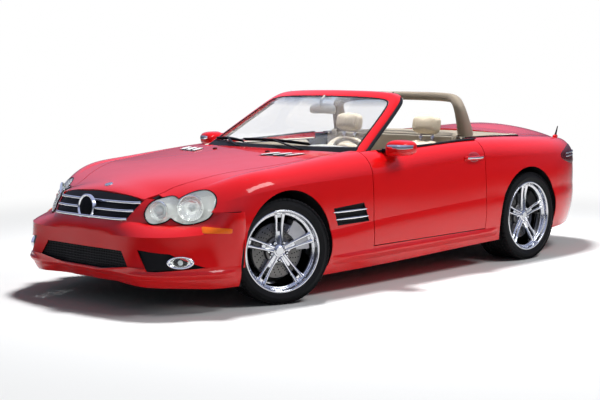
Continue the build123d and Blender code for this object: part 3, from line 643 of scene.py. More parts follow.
# ---- wheels -------------------------------------------------------------------
BEAD = 0.017
WHEELS = (("front_left", 1, FRONT_X, 0.766, 0.125), ("front_right", -1, FRONT_X, 0.766, 0.125),
          ("rear_left", 1, REAR_X, 0.752, 0.1375), ("rear_right", -1, REAR_X, 0.752, 0.1375))
SIDE_WALL = (   # radius, depth from the tyre's flank
    (0.2432, 0.0175), (0.2470, 0.0155), (0.2560, 0.0125), (0.2580, 0.0105), (0.2605, 0.0090), (0.2625, 0.0078),
    (0.2720, 0.0030), (0.2850, 0.0008), (0.2862, 0.0), (0.2890, 0.0002), (0.2900, 0.0010), (0.3000, 0.0030),
    (0.3080, 0.0058), (0.3135, 0.0095), (0.3170, 0.0135), (0.3205, 0.0200), (0.3215, 0.0300))
RIM_EDGE = (    # radius, depth from the rim's face
    (0.2130, 0.090), (0.2200, 0.045), (0.2225, 0.031), (0.2270, 0.0275), (0.2350, 0.0265), (0.2385, 0.0225),
    (0.2410, 0.0020), (0.2440, -0.0065), (0.2480, -0.0085), (0.2540, -0.0085), (0.2565, -0.0060),
    (0.2570, -0.0020), (0.2430, 0.0010), (0.2425, 0.012))
SPOKE_R = (0.040, 0.062, 0.085, 0.110, 0.140, 0.170, 0.200, 0.218, 0.226)
SPOKE_SECTION = ((1.0, 0.011), (0.82, 0.0065), (0.48, 0.0012), (0.2, 0.0))      # share of the half width, drop
BLOCKS, TREAD_TOP, TREAD_FOOT = 66, 0.3277, 0.3190
SPOKES, BOLT_R = 5, 0.056


def under(half, profile):
    """Profile whose heights are depths below half."""
    return [(r, half - depth) for r, depth in profile]


def tread_block(half):
    """One slanted block of each lane of the tread."""
    seed, pitch = Form(), math.tau / BLOCKS
    for mid, width, slant in ((0.0, 0.026, 0.0), (0.040, 0.021, 0.10), (0.078, 0.024, -0.08),
                              (half - 0.0175, 0.021, 0.05)):
        shoulder = mid > half - 0.03
        w = 0.0145 if mid >= half - 0.03 else width / 2
        for sign in ((1, -1) if mid else (1,)):
            rings = []
            for k in range(5):
                t = (-0.42 + 0.84 * k / 4) * pitch
                top = TREAD_TOP - (0.0012 if k in (0, 4) else 0.0)
                pts = [(-w, TREAD_FOOT), (-w + 0.0008, top - 0.001), (-w + 0.002, top)]
                pts += ([(w - 0.009, top - 0.0015), (w - 0.002, top - 0.006), (w, TREAD_FOOT - 0.004)] if shoulder
                        else [(w - 0.002, top), (w - 0.0008, top - 0.001), (w, TREAD_FOOT)])
                rings.append([tuple(polar(t + slant * pitch * (z / w) * 2.2) * r)[:2] + (sign * (mid + z),)
                              for z, r in pts])
            seed.rows(rings)
    return seed


def tyre_form(half):
    """Carcass with ringed side walls, and the blocks of its tread."""
    wall = under(half, SIDE_WALL)
    carcass = Form().spun(wall + [(r, -z) for r, z in reversed(wall)], 128)
    carcass.spun([(0.2432, -half + 0.0175), (0.2432, half - 0.0175)], 128)
    return carcass.join(tread_block(half).repeated(BLOCKS, TYRE))


def spoke_form(half):
    """One pair of spokes with the web between them and their foot at the rim."""
    spoke = Form()
    for lean in (-1, 1):
        rings = []
        for r in SPOKE_R:
            t = (r - 0.04) / 0.186
            bow = math.sin(math.pi * t)
            off = lean * (0.0130 + 0.0115 * t)
            top = half - 0.034 + 0.013 * t - 0.010 * bow
            wide = 0.0115 - 0.002 * bow + (0.004 if r > 0.215 else 0)
            low = top - (0.042 - 0.014 * t)
            flank = [(s, top - drop) for s, drop in SPOKE_SECTION]
            rings.append([(r, off - wide * 1.05, low)] + [(r, off - wide * s, z) for s, z in flank]
                         + [(r, off + wide * s, z) for s, z in reversed(flank)] + [(r, off + wide * 1.05, low)])
        spoke.rows(rings)
    web = [(0.05, 0.018), (0.118, 0.013), (0.124, 0.0), (0.118, -0.013), (0.05, -0.018)]
    spoke.rows([[(x - back, y * k, half - z) for x, y in web]
                for back, k, z in ((0, 1, 0.068), (0, 1, 0.052), (0.003, 0.9, 0.048))])
    foot = [(0.206, 0.036), (0.2225, 0.038), (0.2225, -0.038), (0.206, -0.036)]
    return spoke.rows([[(x, y, half - z) for x, y in foot] for z in (0.058, 0.036)])


def rim_forms(half, up):
    """Barrel, five pairs of spokes, hub, and the small fittings."""
    barrel = Form().spun(lathe_profile([(0.2300, -half + 0.004), (0.2425, -half), (0.2425, -half + 0.012),
                                        (0.2150, -half + 0.030)] + under(half, RIM_EDGE)), 144)
    star = [(0.082 + 0.015 * math.cos(5 * t), t) for t in round_steps(40)]
    hub = Form().rows([[(r * s * math.cos(t), r * s * math.sin(t), half - z) for r, t in star]
                       for s, z in ((1.0, 0.080), (1.0, 0.050), (0.97, 0.0455), (0.86, 0.044))])
    hub.spun(under(half, [(0.0, 0.030), (0.024, 0.0295), (0.0275, 0.032), (0.0285, 0.037), (0.037, 0.040),
                          (0.040, 0.0445)]), 48)
    rivet = Form().spun([(0.0, 0.0022), (0.0016, 0.0020), (0.0028, 0.0010), (0.0031, -0.001)], 8,
                        place=Matrix.Translation((0.2312, 0, half - 0.0265)))
    barrel.join(spoke_form(half).repeated(SPOKES, CHROME, turn=up)).join(hub, Matrix.Rotation(up, 4, "Z"))
    barrel.join(rivet.repeated(40, CHROME))
    seat, between = Matrix.Translation((BOLT_R, 0, 0)), up + math.pi / SPOKES
    # gloss-black disc round each bolt, laid on the hub face: painted shade of the bolt's well
    well = Form().spun(under(half, [(0.0, 0.0436), (0.0125, 0.0434), (0.0130, 0.0425), (0.0142, 0.0425)]), 20,
                       place=seat)
    bolt = Form().spun(under(half, [(0.0, 0.036), (0.0046, 0.036), (0.0050, 0.0368), (0.0085, 0.038),
                                    (0.0090, 0.039), (0.0095, 0.0437)]), 6, place=seat)
    bolt.spun(under(half, [(0.0, 0.0335), (0.0060, 0.0335), (0.0074, 0.0352), (0.0074, 0.038)]), 6, place=seat)
    return barrel, well.repeated(SPOKES, GLOSS_BLACK, between), bolt.repeated(SPOKES, SATIN, between)


def disc_form():
    """Vented brake disc: friction rings, bell, and the drilled holes as gloss-black discs on the face, painted shade.
    """
    disc = Form().spun(lathe_profile([(0.088, 0.020), (0.092, 0.0375), (0.1700, 0.0375), (0.1715, 0.0360),
                                      (0.1715, 0.0285), (0.165, 0.0275), (0.165, 0.0225), (0.1715, 0.0215),
                                      (0.1715, 0.0135), (0.170, 0.0125), (0.094, 0.0125)], 0.0008), 96)
    disc.spun(lathe_profile([(0.030, 0.060), (0.080, 0.060), (0.088, 0.056), (0.090, 0.034)], 0.002), 64)
    holes = Form()
    for r, shift in ((0.106, 0), (0.122, 0.06), (0.138, 0.12), (0.154, 0.18)):
        place = Matrix.Rotation(shift, 4, "Z") @ Matrix.Translation((r, 0, 0))
        # each hole is a thin black disc on the friction face: painted shade where the hole would be
        hole = Form().spun([(0.0, 0.03752), (0.0036, 0.03755), (0.0042, 0.0377)], 10, place=place)
        holes.join(hole.repeated(24, GLOSS_BLACK))
    return disc, holes


def wheel_place(side, x, y):
    place = Matrix.Translation((x, side * y, TYRE_R)) @ Matrix.Rotation(math.radians(-90 * side), 4, "X")
    if x > 0:
        pin = Vector((x, side * KINGPIN_Y, 0))
        place = Matrix.Translation(pin) @ Matrix.Rotation(math.radians(STEER_REST), 4, "Z") \
            @ Matrix.Translation(-pin) @ place
    return place


def wheels():
    for name, side, x, y, half in WHEELS:
        place = wheel_place(side, x, y)
        body = "wheel_" + name
        tyre = tyre_form(half).moved(place).make("road_tyre_" + name, TYRE, body, sharp=40)
        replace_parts(tyre, "tyre_" + name)
        barrel, wells, bolts = rim_forms(half - BEAD, math.radians(-90 * side))
        rim = barrel.moved(place).make("spoked_rim_" + name, RIM, body, sharp=32)
        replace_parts(rim, "rim_" + name)
        # black discs round the bolts: painted shade of their wells
        wells.moved(place).make("bolt_wells_" + name, GLOSS_BLACK, body, "rim_chrome")
        bolts.moved(place).make("wheel_bolts_" + name, SATIN, body, sharp=30)
        disc, holes = disc_form()
        steel = disc_steel(place.to_translation(), place.to_3x3().to_euler())
        disc.moved(place).make("brake_disc_" + name, steel, body, "rim_chrome")
        holes.moved(place).make("disc_drillings_" + name, GLOSS_BLACK, body, "rim_chrome")


def brakes():
    """Caliper over each disc, carried by the knuckle or the rear axle."""
    section = ((0.118, 0.041), (0.120, 0.054), (0.128, 0.060), (0.160, 0.060), (0.178, 0.054), (0.184, 0.040),
               (0.184, 0.008), (0.178, -0.006), (0.150, -0.010), (0.122, -0.006), (0.118, 0.008))
    for name, side, x, y, _ in WHEELS:
        rows = []
        for t in steps(12, -1, 1):
            a = math.radians(180 + side * 38 + 24 * t)
            squeeze = 1 - 0.25 * abs(t) ** 3
            rows.append([polar(a) * (0.150 + (r - 0.150) * squeeze) + Vector((0, 0, z)) for r, z in section])
        body = "knuckle_" + name.split("_")[1] if x > 0 else "body"
        Form().rows(rows).moved(wheel_place(side, x, y)).make("brake_caliper_" + name, SATIN, body, "carrier_metal",
                                                              sharp=45)


# ---- nose ---------------------------------------------------------------------
GRILLE_Z = (0.556, 0.603, 0.650)
LAMP_EYES = ((0.512, 0.608, 0.0735, 0.0795), (0.662, 0.626, 0.1155, 0.0975))     # y, z, half width, half height
LAMP_MID = (0.590, 0.617)
LAMP_BOWLS = (      # aim, radius, shift of the bowl, bulb
    ((0.90, 0.42, 0.02), 0.054, -0.004, ((0.0, 0.0), (0.010, -0.001), (0.020, -0.006), (0.0255, -0.014),
                                         (0.0265, -0.024), (0.0265, -0.034))),
    ((0.74, 0.66, 0.06), 0.073, 0.004, ((0.0, -0.006), (0.008, -0.0075), (0.0125, -0.012), (0.0125, -0.034))))
NOSE_POST = (1.500, 0.0)
FOG_TURN, FOG_Z, FOG_OUT, FOG_OVAL = math.radians(50.8), 0.321, 0.941, (1.72, 0.80)


def union_outline(centre, ellipses, count=120):
    """Outline of overlapping ellipses, seen from centre."""
    out = []
    for t in round_steps(count):
        dy, dz = math.cos(t), math.sin(t)
        best = 0.0
        for ey, ez, a, b in ellipses:
            py, pz = centre[0] - ey, centre[1] - ez
            qa = (dy / a) ** 2 + (dz / b) ** 2
            qb = 2 * (py * dy / a ** 2 + pz * dz / b ** 2)
            qc = (py / a) ** 2 + (pz / b) ** 2 - 1
            best = max(best, (-qb + math.sqrt(max(qb * qb - 4 * qa * qc, 0))) / (2 * qa))
        out.append((dy * best, dz * best))
    return out


def lamp_edge(centre, outline):
    """Edge of the lamp's hole: points just outside the outline, met on wing, bumper and hood."""
    skin = Skin("front_wing_left", "front_bumper", "hood")
    raw = [skin.front(centre[0] + dy * k, centre[1] + dz * k)[0]
           for dy, dz, k in ((dy, dz, 1 + 0.004 / math.hypot(dy, dz)) for dy, dz in outline)]
    n = len(raw)
    xs = [sorted(raw[(i + j) % n].x for j in range(-5, 6))[5] for i in range(n)]
    for _ in range(3):
        xs = [(xs[i - 1] + 2 * xs[i] + xs[(i + 1) % n]) / 4 for i in range(n)]
    return [Vector((x, centre[0] + dy, centre[1] + dz)) for x, (dy, dz) in zip(xs, outline)]


def lamp_skin(edge, rings, rise, inset=1.0):
    """Surface stretched over the edge; rise(share) moves it along the mean outward way."""
    n = len(edge)
    mid = sum(edge, Vector()) / n
    way = sum(((edge[i] - mid).cross(edge[(i + 1) % n] - mid) for i in range(n)), Vector()).normalized()
    way = way if way.x > 0 else -way
    form = Form()
    form.verts = [mid + way * rise(0.0)]
    for k in range(1, rings + 1):
        s = k / rings * inset
        form.verts += [mid + (p - mid) * s + way * rise(s) for p in edge]
    for i in range(n):
        j = (i + 1) % n
        form.faces.append((0, 1 + i, 1 + j))
        for a in range(1, 1 + (rings - 1) * n, n):
            form.faces.append((a + i, a + n + i, a + n + j, a + j))
    return form, way


def head_lamps():
    """Clear cover over two reflector bowls in a pale housing, with a dark seal round it."""
    edge = lamp_edge(LAMP_MID, union_outline(LAMP_MID, LAMP_EYES))
    cover, way = lamp_skin(edge, 14, lambda s: 0.030 * (1 - s * s) ** 0.8 + 0.001)
    for obj, side in zip(cover.pair("lamp_cover", LENS, sharp=80), ("left", "right")):
        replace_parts(thickened(obj, 0.0025), "head_lamp_" + side)
    Form().sweep([p + way * 0.001 for p in edge], circle(0.0042, 8), up=(0.6, 0.7, 0.3), looped=True).pair(
        "lamp_seal", GLOSS_BLACK)
    lamp_skin(edge, 10, lambda s: -0.004 - 0.040 * (1 - s ** 4), 0.99)[0].pair("lamp_housing", LAMP_GREY, sharp=60)
    front = Skin(form=cover)
    for k, ((y, z, _, _), (aim, size, shift, bulb)) in enumerate(zip(LAMP_EYES, LAMP_BOWLS), 1):
        aim = Vector(aim).normalized()
        place = facing(front.front(y + shift, z - 0.002)[0] - aim * 0.020, aim)
        bowl = [(size * s, -0.034 * (1 - s * s)) for s in (0.10, 0.25, 0.4, 0.55, 0.7, 0.85, 0.95, 1.0)]
        bowl += [(size * 1.03, 0.001), (size * 1.075, 0.0), (size * 1.09, -0.004), (size * 1.09, -0.012)]
        Form().spun(bowl, 64, place=place).pair("reflector_%d" % k, REFLECTOR, sharp=50)
        Form().spun(bulb, 40, place=place).pair("projector_%d" % k, BULB, sharp=60)
        ring = [(size * r, h) for r, h in ((0.62, -0.020), (0.64, -0.0165), (0.67, -0.0165), (0.69, -0.020))]
        Form().spun(ring, 48, place=place).pair("reflector_step_%d" % k, CHROME)
        flute = Form().rows([[(size * r, -w, h), (size * r, 0, crest), (size * r, w, h)]
                             for r, w, h, crest in ((0.72, 0.0022, -0.0165, -0.0150),
                                                    (0.99, 0.0030, -0.0010, 0.0008))])
        flute.repeated(36, REFLECTOR).moved(place).pair("reflector_flutes_%d" % k, REFLECTOR)


def grille_dress():
    """Bright bars across the sunk mesh, and the plain ring on them."""
    skin = Skin("grille")
    bars = Form()
    for z in GRILLE_Z:
        half = 0.346 + 0.052 * (z - 0.546) / 0.126
        line = [(skin.front(y, z)[0].x + 0.0005, y, z) for y in steps(32, -half, half)]
        crests = [max(p[0] for p in line[i - 1:i + 2]) for i in range(1, 32)]
        line[1:-1] = [(x, p[1], p[2]) for x, p in zip(crests, line[1:-1])]
        bars.sweep(line, bar_profile(0.020, 0.0155, 0.004))
    bars.make("grille_bars", CHROME, sharp=50)
    place = Matrix.Translation((skin.front(0, GRILLE_Z[1])[0].x + 0.018, 0, 0.606)) \
        @ Matrix.Rotation(math.radians(83), 4, "Y")
    Form().spun(lathe_profile([(0.0, 0.006), (0.060, 0.005), (0.066, 0.004), (0.069, 0.012), (0.076, 0.014),
                               (0.0805, 0.011), (0.0805, -0.010)], 0.0015), 72, place=place).make(
        "grille_disc", CHROME, sharp=40)
    Form().spun([(0.0, 0.0072), (0.058, 0.0062), (0.0665, 0.0050)], 64, place=place).make(
        "grille_disc_face", GLOSS_BLACK)


def fog_lamps():
    """Oval ring, bowl, bulb and lens in the bumper's corner."""
    spot = Vector((NOSE_POST[0], 0, FOG_Z)) + polar(FOG_TURN) * FOG_OUT
    upright = facing(spot, polar(FOG_TURN, 0.02))
    oval = upright @ Matrix.Diagonal((*FOG_OVAL, 1.0, 1.0))
    Form().spun(lathe_profile([(0.034, 0.004), (0.038, 0.011), (0.043, 0.0125), (0.0460, 0.010), (0.047, -0.006)]),
                72, place=oval).pair("fog_ring", CHROME)
    Form().spun([(0.0, -0.016), (0.010, -0.014), (0.020, -0.008), (0.034, 0.004)], 56, place=oval).pair(
        "fog_reflector", REFLECTOR)
    Form().spun([(0.0, 0.004), (0.010, 0.003), (0.017, -0.001), (0.021, -0.008), (0.021, -0.016)], 32,
                place=upright).pair("fog_bulb", BULB, sharp=60)
    Form().spun([(0.0, 0.0105), (0.012, 0.0100), (0.024, 0.0085), (0.035, 0.0060), (0.036, 0.0035), (0.0, 0.0070)],
                56, place=oval).pair("fog_lens", LENS)


def side_markers():
    """Amber lamp let into the bumper corner."""
    skin, rows = Skin("front_bumper"), []
    for t in steps(12):
        inner = 0 < t < 1
        x, y = 2.003 + (1.815 - 2.003) * t, 0.835 + (0.870 - 0.835) * t
        out = Vector((x - NOSE_POST[0], y, 0)).normalized()
        half = 0.0185 - 0.003 * t - (0 if inner else 0.004)
        row = []
        for c, s in ((-1, -0.001), (-0.88, 0.0045), (-0.4, 0.0060), (0.4, 0.0060), (0.88, 0.0045), (1, -0.001)):
            start = Vector((x, y, 0.504 - 0.011 * t + half * c)) + out * 0.3
            row.append(skin.hit(start, -out, s if inner else -0.001)[0])
        rows.append(row)
    Form().sheet(rows).pair("side_marker", AMBER)


# ---- windscreen and its fittings ----------------------------------------------
SCREEN_ROWS = ((0.880, 0.565, 0.760, 0.776), (1.272, -0.064, 0.612, 0.040))     # z, x at side, half width, x at middle
FRAME_DEEP = 0.062
PILLAR_HALF = 0.0205


def screen_at(y, z, inward=0.0):
    """Point of the windscreen's outer face."""
    (z0, *low), (z1, *top) = SCREEN_ROWS
    t = (z - z0) / (z1 - z0)
    xc, yc, xm = (a + (b - a) * t for a, b in zip(low, top))
    sag = xm - xc
    radius = (yc * yc + sag * sag) / (2 * sag)
    return Vector((xm - radius + math.sqrt(radius * radius - y * y) - inward, y, z))


def screen_side(z):
    (z0, _, y0, _), (z1, _, y1, _) = SCREEN_ROWS
    return y0 + (y1 - y0) * (z - z0) / (z1 - z0)


def header_line(z):
    return [screen_at(y, z, FRAME_DEEP + 0.004) for y in steps(28, -0.50, 0.50)]


def wipers():
    """Blade, rubber, arm and pivot of each wiper, laid low across the glass."""
    for name, y0, reach, climb, foot_y in (("left", 0.38, 0.64, 0.012, 0.42), ("right", -0.24, 0.44, 0.0, -0.20)):
        shares = steps(14)
        line = [screen_at(y0 - reach * t, 0.924 + 0.008 * math.sin(math.pi * t) + climb * t) for t in shares]
        blade = [p + Vector((0.012, 0, 0.014)) for p in line]
        wiper = Form().sweep(blade, bar_profile(0.014, 0.009, 0.003), up=(0.5, 0, 0.87),
                             sizes=[0.55 + 0.45 * math.sin(math.pi * t) for t in shares])
        wiper.sweep([p + Vector((0.003, 0, 0.004)) for p in line], bar_profile(0.004, 0.014, 0.001),
                    up=(0.5, 0, 0.87))
        foot, mid = Vector((0.770, foot_y, 0.902)), blade[7]
        arm = smooth_line([foot, foot.lerp(mid, 0.35) + Vector((0.020, 0, 0.004)),
                           foot.lerp(mid, 0.8) + Vector((0.014, 0, 0.002)), mid + Vector((0.004, 0, 0.002))], 6)
        wiper.sweep(arm, bar_profile(0.020, 0.009, 0.003), sizes=steps(len(arm) - 1, 1.1, 0.7))
        wiper.spun([(0.0, 0.012), (0.012, 0.010), (0.016, 0.004), (0.016, -0.020)], 20,
                   place=Matrix.Translation(foot))
        wiper.make("wiper_" + name, BLACK, sharp=40)


def screen_dress():
    Form().sweep(header_line(1.258), bar_profile(0.018, 0.016, 0.005)).make("header_seal", SEAL)
    trim = Form()
    for sign in (1, -1):
        trim.sweep([screen_at(sign * (screen_side(z) - 0.022), z, FRAME_DEEP + 0.002)
                    for z in steps(12, 0.925, 1.190)], bar_profile(0.036, 0.010, 0.004), up=(-1, 0, 0.6))
    trim.sweep(header_line(1.250), bar_profile(0.008, 0.036, 0.003)).make("screen_inner_trim", GREY_TRIM)
    wipers()


def cabin_mirror():
    """Inside mirror on its stalk under the header, and the two sun visors."""
    centre = Vector((0.118, 0.0, 1.150))
    rows = []
    for x, k in ((-0.014, 0.93), (-0.010, 0.99), (0.0, 1.0), (0.012, 0.93), (0.022, 0.75), (0.028, 0.4)):
        rows.append([centre + Vector((x + 0.010 * c * c, 0.124 * k * blunt(c, 0.55),
                                      0.037 * k * blunt(s, 0.55) - 0.010 * abs(c)))
                     for c, s in ((math.cos(t), math.sin(t)) for t in round_steps(36))])
    stalk = [centre + Vector((0.02, 0, 0.01)), centre + Vector((0.022, 0, 0.045)), Vector((0.100, 0, 1.238))]
    Form().rows(rows).sweep(smooth_line(stalk, 5), circle(0.011), up=(1, 0, 0)).make("cabin_mirror", GREY_TRIM)
    section = ((0.0, -0.004), (-0.020, -0.002), (-0.125, -0.012), (-0.130, -0.018), (-0.124, -0.024),
               (-0.020, -0.018), (-0.004, -0.014))
    Form().rows([[screen_at(y, 1.236, FRAME_DEEP * 0.9) + Vector((dx, 0, dz)) for dx, dz in section]
                 for y in steps(12, 0.10, 0.52)]).pair("sun_visor", GREY_TRIM)


def frame_band(path, half, deep, power=0.45, count=20):
    """Rounded band that follows a (y, z) path drawn on the windscreen's outer face."""
    rings = []
    for i, (y, z) in enumerate(path):
        (ya, za), (yb, zb) = path[max(i - 1, 0)], path[min(i + 1, len(path) - 1)]
        run = math.hypot(yb - ya, zb - za)
        ny, nz = (zb - za) / run, -(yb - ya) / run
        rings.append([screen_at(y + ny * a * half, z + nz * a * half, deep * (0.5 + 0.5 * b) - 0.002)
                      for a, b in ((blunt(math.cos(t), power), blunt(math.sin(t), power))
                                   for t in round_steps(count))])
    return Form().rows(rings)


def screen_frame():
    """Pillars and header with round corners, the pane, its foot and its seals."""
    side = smooth_line([(0.737, 0.884, 0), (0.700, 0.978, 0), (0.663, 1.076, 0), (0.628, 1.160, 0), (0.602, 1.203, 0),
                        (0.560, 1.230, 0), (0.480, 1.2445, 0), (0.30, 1.2540, 0), (0.02, 1.2580, 0)], 6)
    path = [(p.x, p.y) for p in side]
    around = path + [(-y, z) for y, z in reversed(path)]
    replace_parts(frame_band(around, PILLAR_HALF, 0.060).make("screen_frame", PAINT, sharp=60), "windscreen_frame")
    pane = Form().sheet([[screen_at(y * k / 16, z, 0.002) for k in range(-16, 17)] for y, z in path if z > 0.895])
    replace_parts(thickened(pane.make("screen_pane", SCREEN, sharp=80), 0.005), "windscreen")
    frame_band([(y, 0.899) for y in steps(32, 0.72, -0.72)], 0.0175, 0.058, 0.4).make("screen_foot", BLACK, sharp=60)
    inner = [(y - PILLAR_HALF * (zb - za) / run, z + PILLAR_HALF * (yb - ya) / run)
             for (ya, za), (y, z), (yb, zb), run in
             ((a, b, c, math.hypot(c[0] - a[0], c[1] - a[1])) for a, b, c in zip(around, around[1:], around[2:]))]
    Form().sweep([screen_at(y, z, -0.0015) for y, z in inner], bar_profile(0.010, 0.006, 0.002),
                 up=(0.45, 0, 0.89)).make("screen_surround", SEAL)
    Form().sweep([screen_at(y + 0.008, z, FRAME_DEEP) + Vector((-0.004, 0.012, 0)) for y, z in path[:34]],
                 bar_profile(0.026, 0.018, 0.005), up=(0, 1, 0.3)).pair("pillar_seal", SEAL)


# ---- doors --------------------------------------------------------------------
DOOR = "door_{}"
SHELL_C = (0.358, 0.935, 0.912)      # middle of the door mirror
PANE_EDGE = ((-1, -0.5), (-0.86, -0.92), (0.8, -0.9), (0.98, -0.4), (0.95, 0.5), (0.8, 0.92), (-0.8, 0.95), (-1, 0.6))


def blob(centre, half, power=0.6, rings=14, count=28, warp=Vector):
    """Rounded block: a superellipsoid whose skin may be warped."""
    centre, rows = Vector(centre), []
    for v in steps(rings, -math.pi / 2, math.pi / 2)[1:-1]:
        row = []
        for u in round_steps(count):
            wide, high = blunt(math.cos(v), power), blunt(math.sin(v), power)
            row.append(centre + warp(Vector((wide * blunt(math.cos(u), power) * half[0],
                                             wide * blunt(math.sin(u), power) * half[1], high * half[2]))))
        rows.append(row)
    form = Form().rows(rows, capped=False)
    a, b, last = len(form.verts), len(form.verts) + 1, (rings - 2) * count
    form.verts += [centre + warp(Vector((0, 0, z))) for z in (-half[2], half[2])]
    for i in range(count):
        j = (i + 1) % count
        form.faces += [(a, j, i), (b, last + i, last + j)]
    return form


def door_mirror():
    def shape(p):
        lean, drop = 0.020 * (p.y / 0.08), -0.012 * max(0.0, -p.y / 0.08) ** 2
        return Vector((p.x - lean * 0.8, p.y, p.z * (1.0 - 0.10 * p.y / 0.08) + drop))
    shell = blob(SHELL_C, (0.086, 0.082, 0.053), 0.62, 18, 40, shape)
    shell.pair("door_mirror", PAINT, DOOR, sharp=80)
    foot = smooth_line([(0.372, 0.805, 0.892), (0.366, 0.835, 0.893), (0.360, 0.872, 0.897), (0.358, 0.900, 0.902)], 4)
    Form().sweep(foot, bar_profile(0.088, 0.030, 0.010)).pair("mirror_foot", GLOSS_BLACK, DOOR)
    skin, rows = Skin(form=shell), []
    for t in steps(14):
        half = 0.0150 * (1 - 0.55 * abs(2 * t - 1) ** 3)
        rows.append([skin.hit((0.60, 0.880 + 0.225 * t, 0.925 - 0.004 * t + half * c), (-1, -0.25 * t, 0),
                              lift if 0 < t < 1 else -0.001)[0]
                     for c, lift in ((-1, -0.001), (-0.9, 0.0018), (0, 0.0032), (0.9, 0.0018), (1, -0.001))])
    Form().sheet(rows).pair("mirror_strip", CHROME, DOOR, sharp=60)
    Form().rows([[(x + 0.012 * 0.070 * a / 0.08, SHELL_C[1] + 0.070 * a, SHELL_C[2] + 0.042 * b)
                  for a, b in PANE_EDGE] for x in (0.2795, 0.288)]).pair("mirror_pane", MIRROR, DOOR, sharp=50)


def door_handle(skin):
    rows = [[skin.hit((-0.490 + 0.066 * s * math.cos(t), 1.2, 0.806 + 0.036 * s * math.sin(t)), (0, -1, 0),
                      0.0012 if s < 1 else 0.0)[0] for t in round_steps(32)] for s in steps(8)[1:]]
    # the cup is a darker red oval laid flat on the door: painted shade behind the handle
    Form().rows(rows).pair("handle_cup", PAINTED_SHADE_RED, DOOR)
    line = [Vector((-0.385 - 0.205 * t, 0.884 + 0.8 * (0.006 + 0.034 * math.sin(math.pi * t) ** 0.6), 0.800))
            for t in steps(16)]
    Form().sweep(line, bar_profile(0.018, 0.026, 0.006)).pair("door_handle", PAINT, DOOR)
    Form().sweep([p + Vector((0, 0.0105, 0.002)) for p in line[1:-1]], bar_profile(0.0035, 0.013, 0.0015)).pair(
        "handle_strip", CHROME, DOOR)


def door_dress():
    """Mirror, handle, belt seal and inner panel of each door."""
    door_mirror()
    skin = Skin("door_left")
    door_handle(skin)
    line = [Vector((x, 0.797, skin.top(x, 0.797)[0].z + 0.0035)) for x in steps(24, 0.435, -0.610)]
    Form().sweep(line, bar_profile(0.030, 0.012, 0.004)).pair("belt_seal", SEAL, DOOR)
    rows = []
    for z, dy in ((0.300, -0.001), (0.305, 0.006), (0.42, 0.010), (0.60, 0.012), (0.640, 0.040), (0.668, 0.046),
                  (0.690, 0.040), (0.72, 0.014), (0.82, 0.012), (0.872, 0.010), (0.886, 0.004), (0.888, -0.001)):
        row = []
        for k, x in enumerate(steps(20, 0.575, -0.585)):
            edge = {0: 0.3, 1: 0.85}.get(min(k, 20 - k), 1.0)
            row.append((x, 0.7745 - dy * (edge if dy < 0.02 else (1.0 if 3 < k < 17 else 0.35)), z))
        rows.append(row)
    Form().sheet(rows).pair("door_panel", PALE, DOOR, sharp=50)
    grip = smooth_line([(0.10, 0.738, 0.690), (0.04, 0.722, 0.706), (-0.12, 0.718, 0.710), (-0.20, 0.736, 0.692)], 6)
    Form().sweep(grip, circle(0.013)).pair("door_pull", SATIN, DOOR)


# ---- hood and wings -----------------------------------------------------------
def hood_dress():
    """Air outlets with pale slats, washer nozzles and the plain disc at the front."""
    hood = Skin("hood")
    Form().sheet([[hood.top(1.088 - 0.150 * s - 0.068 * w, 0.300 + 0.250 * w + 0.050 * s,
                            0.0012 if 0 < s < 1 and 0 < w < 1 else -0.001)[0] for w in steps(12)]
                  for s in steps(12)]).pair("hood_outlet", SEAL, "hood")
    slats = Form()
    for k in range(3):
        slats.sweep([hood.top(1.063 - 0.0245 * k - 0.120 * w, 0.3385 + 0.0875 * k + 0.048 * w, 0.006)[0]
                     for w in steps(8)], bar_profile(0.034, 0.006, 0.002),
                    sizes=[0.60 + 0.40 * math.sin(math.pi * w) ** 0.5 for w in steps(8)])
    slats.pair("outlet_slats", LAMP_GREY, "hood", slot="rim_chrome")
    Form().spun(lathe_profile([(0.0, 0.0045), (0.019, 0.0040), (0.021, 0.0030), (0.024, 0.0050), (0.0265, 0.0030),
                               (0.027, -0.001)], 0.0008), 40, place=facing(*hood.top(2.045, 0))).make(
        "hood_disc", SATIN, "hood")
    for sign, name in ((1, "left"), (-1, "right")):
        blob(hood.top(0.930, sign * 0.26, 0.002)[0], (0.020, 0.014, 0.007), 0.9, 8, 16).make(
            "washer_nozzle_" + name, BLACK, "hood")


def gill_dress():
    """Two bright blades that stand out across each wing's outlet."""
    skin, blades = Skin("gill_left", "front_wing_left"), Form()
    for z, x0, x1 in ((0.535, 0.985, 0.668), (0.488, 0.962, 0.655)):
        line = smooth_line([(x, max(skin.side(x, z)[0].y + 0.004, 0.900), z) for x in steps(18, x0, x1)[::3]], 3)
        blades.sweep(line, bar_profile(0.014, 0.013, 0.004),
                     sizes=[0.35 + 0.65 * math.sin(math.pi * t) ** 0.5 for t in steps(len(line) - 1)])
    blades.pair("gill_blades", CHROME)


def lower_blades():
    """Blade along each sill, and the lip under the nose."""
    side, rows = Skin("body_side_left", "front_wing_left"), []
    for t in steps(36):
        x, z = 0.985 - 1.760 * t, 0.238 + 0.022 * t
        out = 0.016 * min(1.0, t * 12, (1 - t) * 12) ** 0.5
        rows.append([(x, min(side.side(x, z + dz)[0].y, 0.905) + (lift * out if lift > 0 else lift), z + dz)
                     for dz, lift in ((0.026, -0.001), (0.016, 0.45), (0.004, 0.9), (-0.002, 1.0), (-0.008, 0.92),
                                      (-0.034, 0.25), (-0.044, -0.001))])
    Form().sheet(rows).pair("sill_blade", PAINT, sharp=40)
    nose, rows, z = Skin("front_bumper"), [], 0.246
    for t in steps(48, -1, 1):
        out = polar(math.radians(72) * t)
        far = 0.014 * min(1.0, (1 - abs(t)) * 10) ** 0.5
        rows.append([nose.hit(Vector((NOSE_POST[0], 0, z + dz)) + out * 1.6, -out)[0]
                     + out * (lift * far if lift > 0 else lift)
                     for dz, lift in ((0.022, -0.001), (0.012, 0.5), (0.002, 0.95), (-0.004, 1.0), (-0.012, 0.85),
                                      (-0.034, -0.001))])
    Form().sheet(rows).make("chin_lip", PAINT, sharp=40)


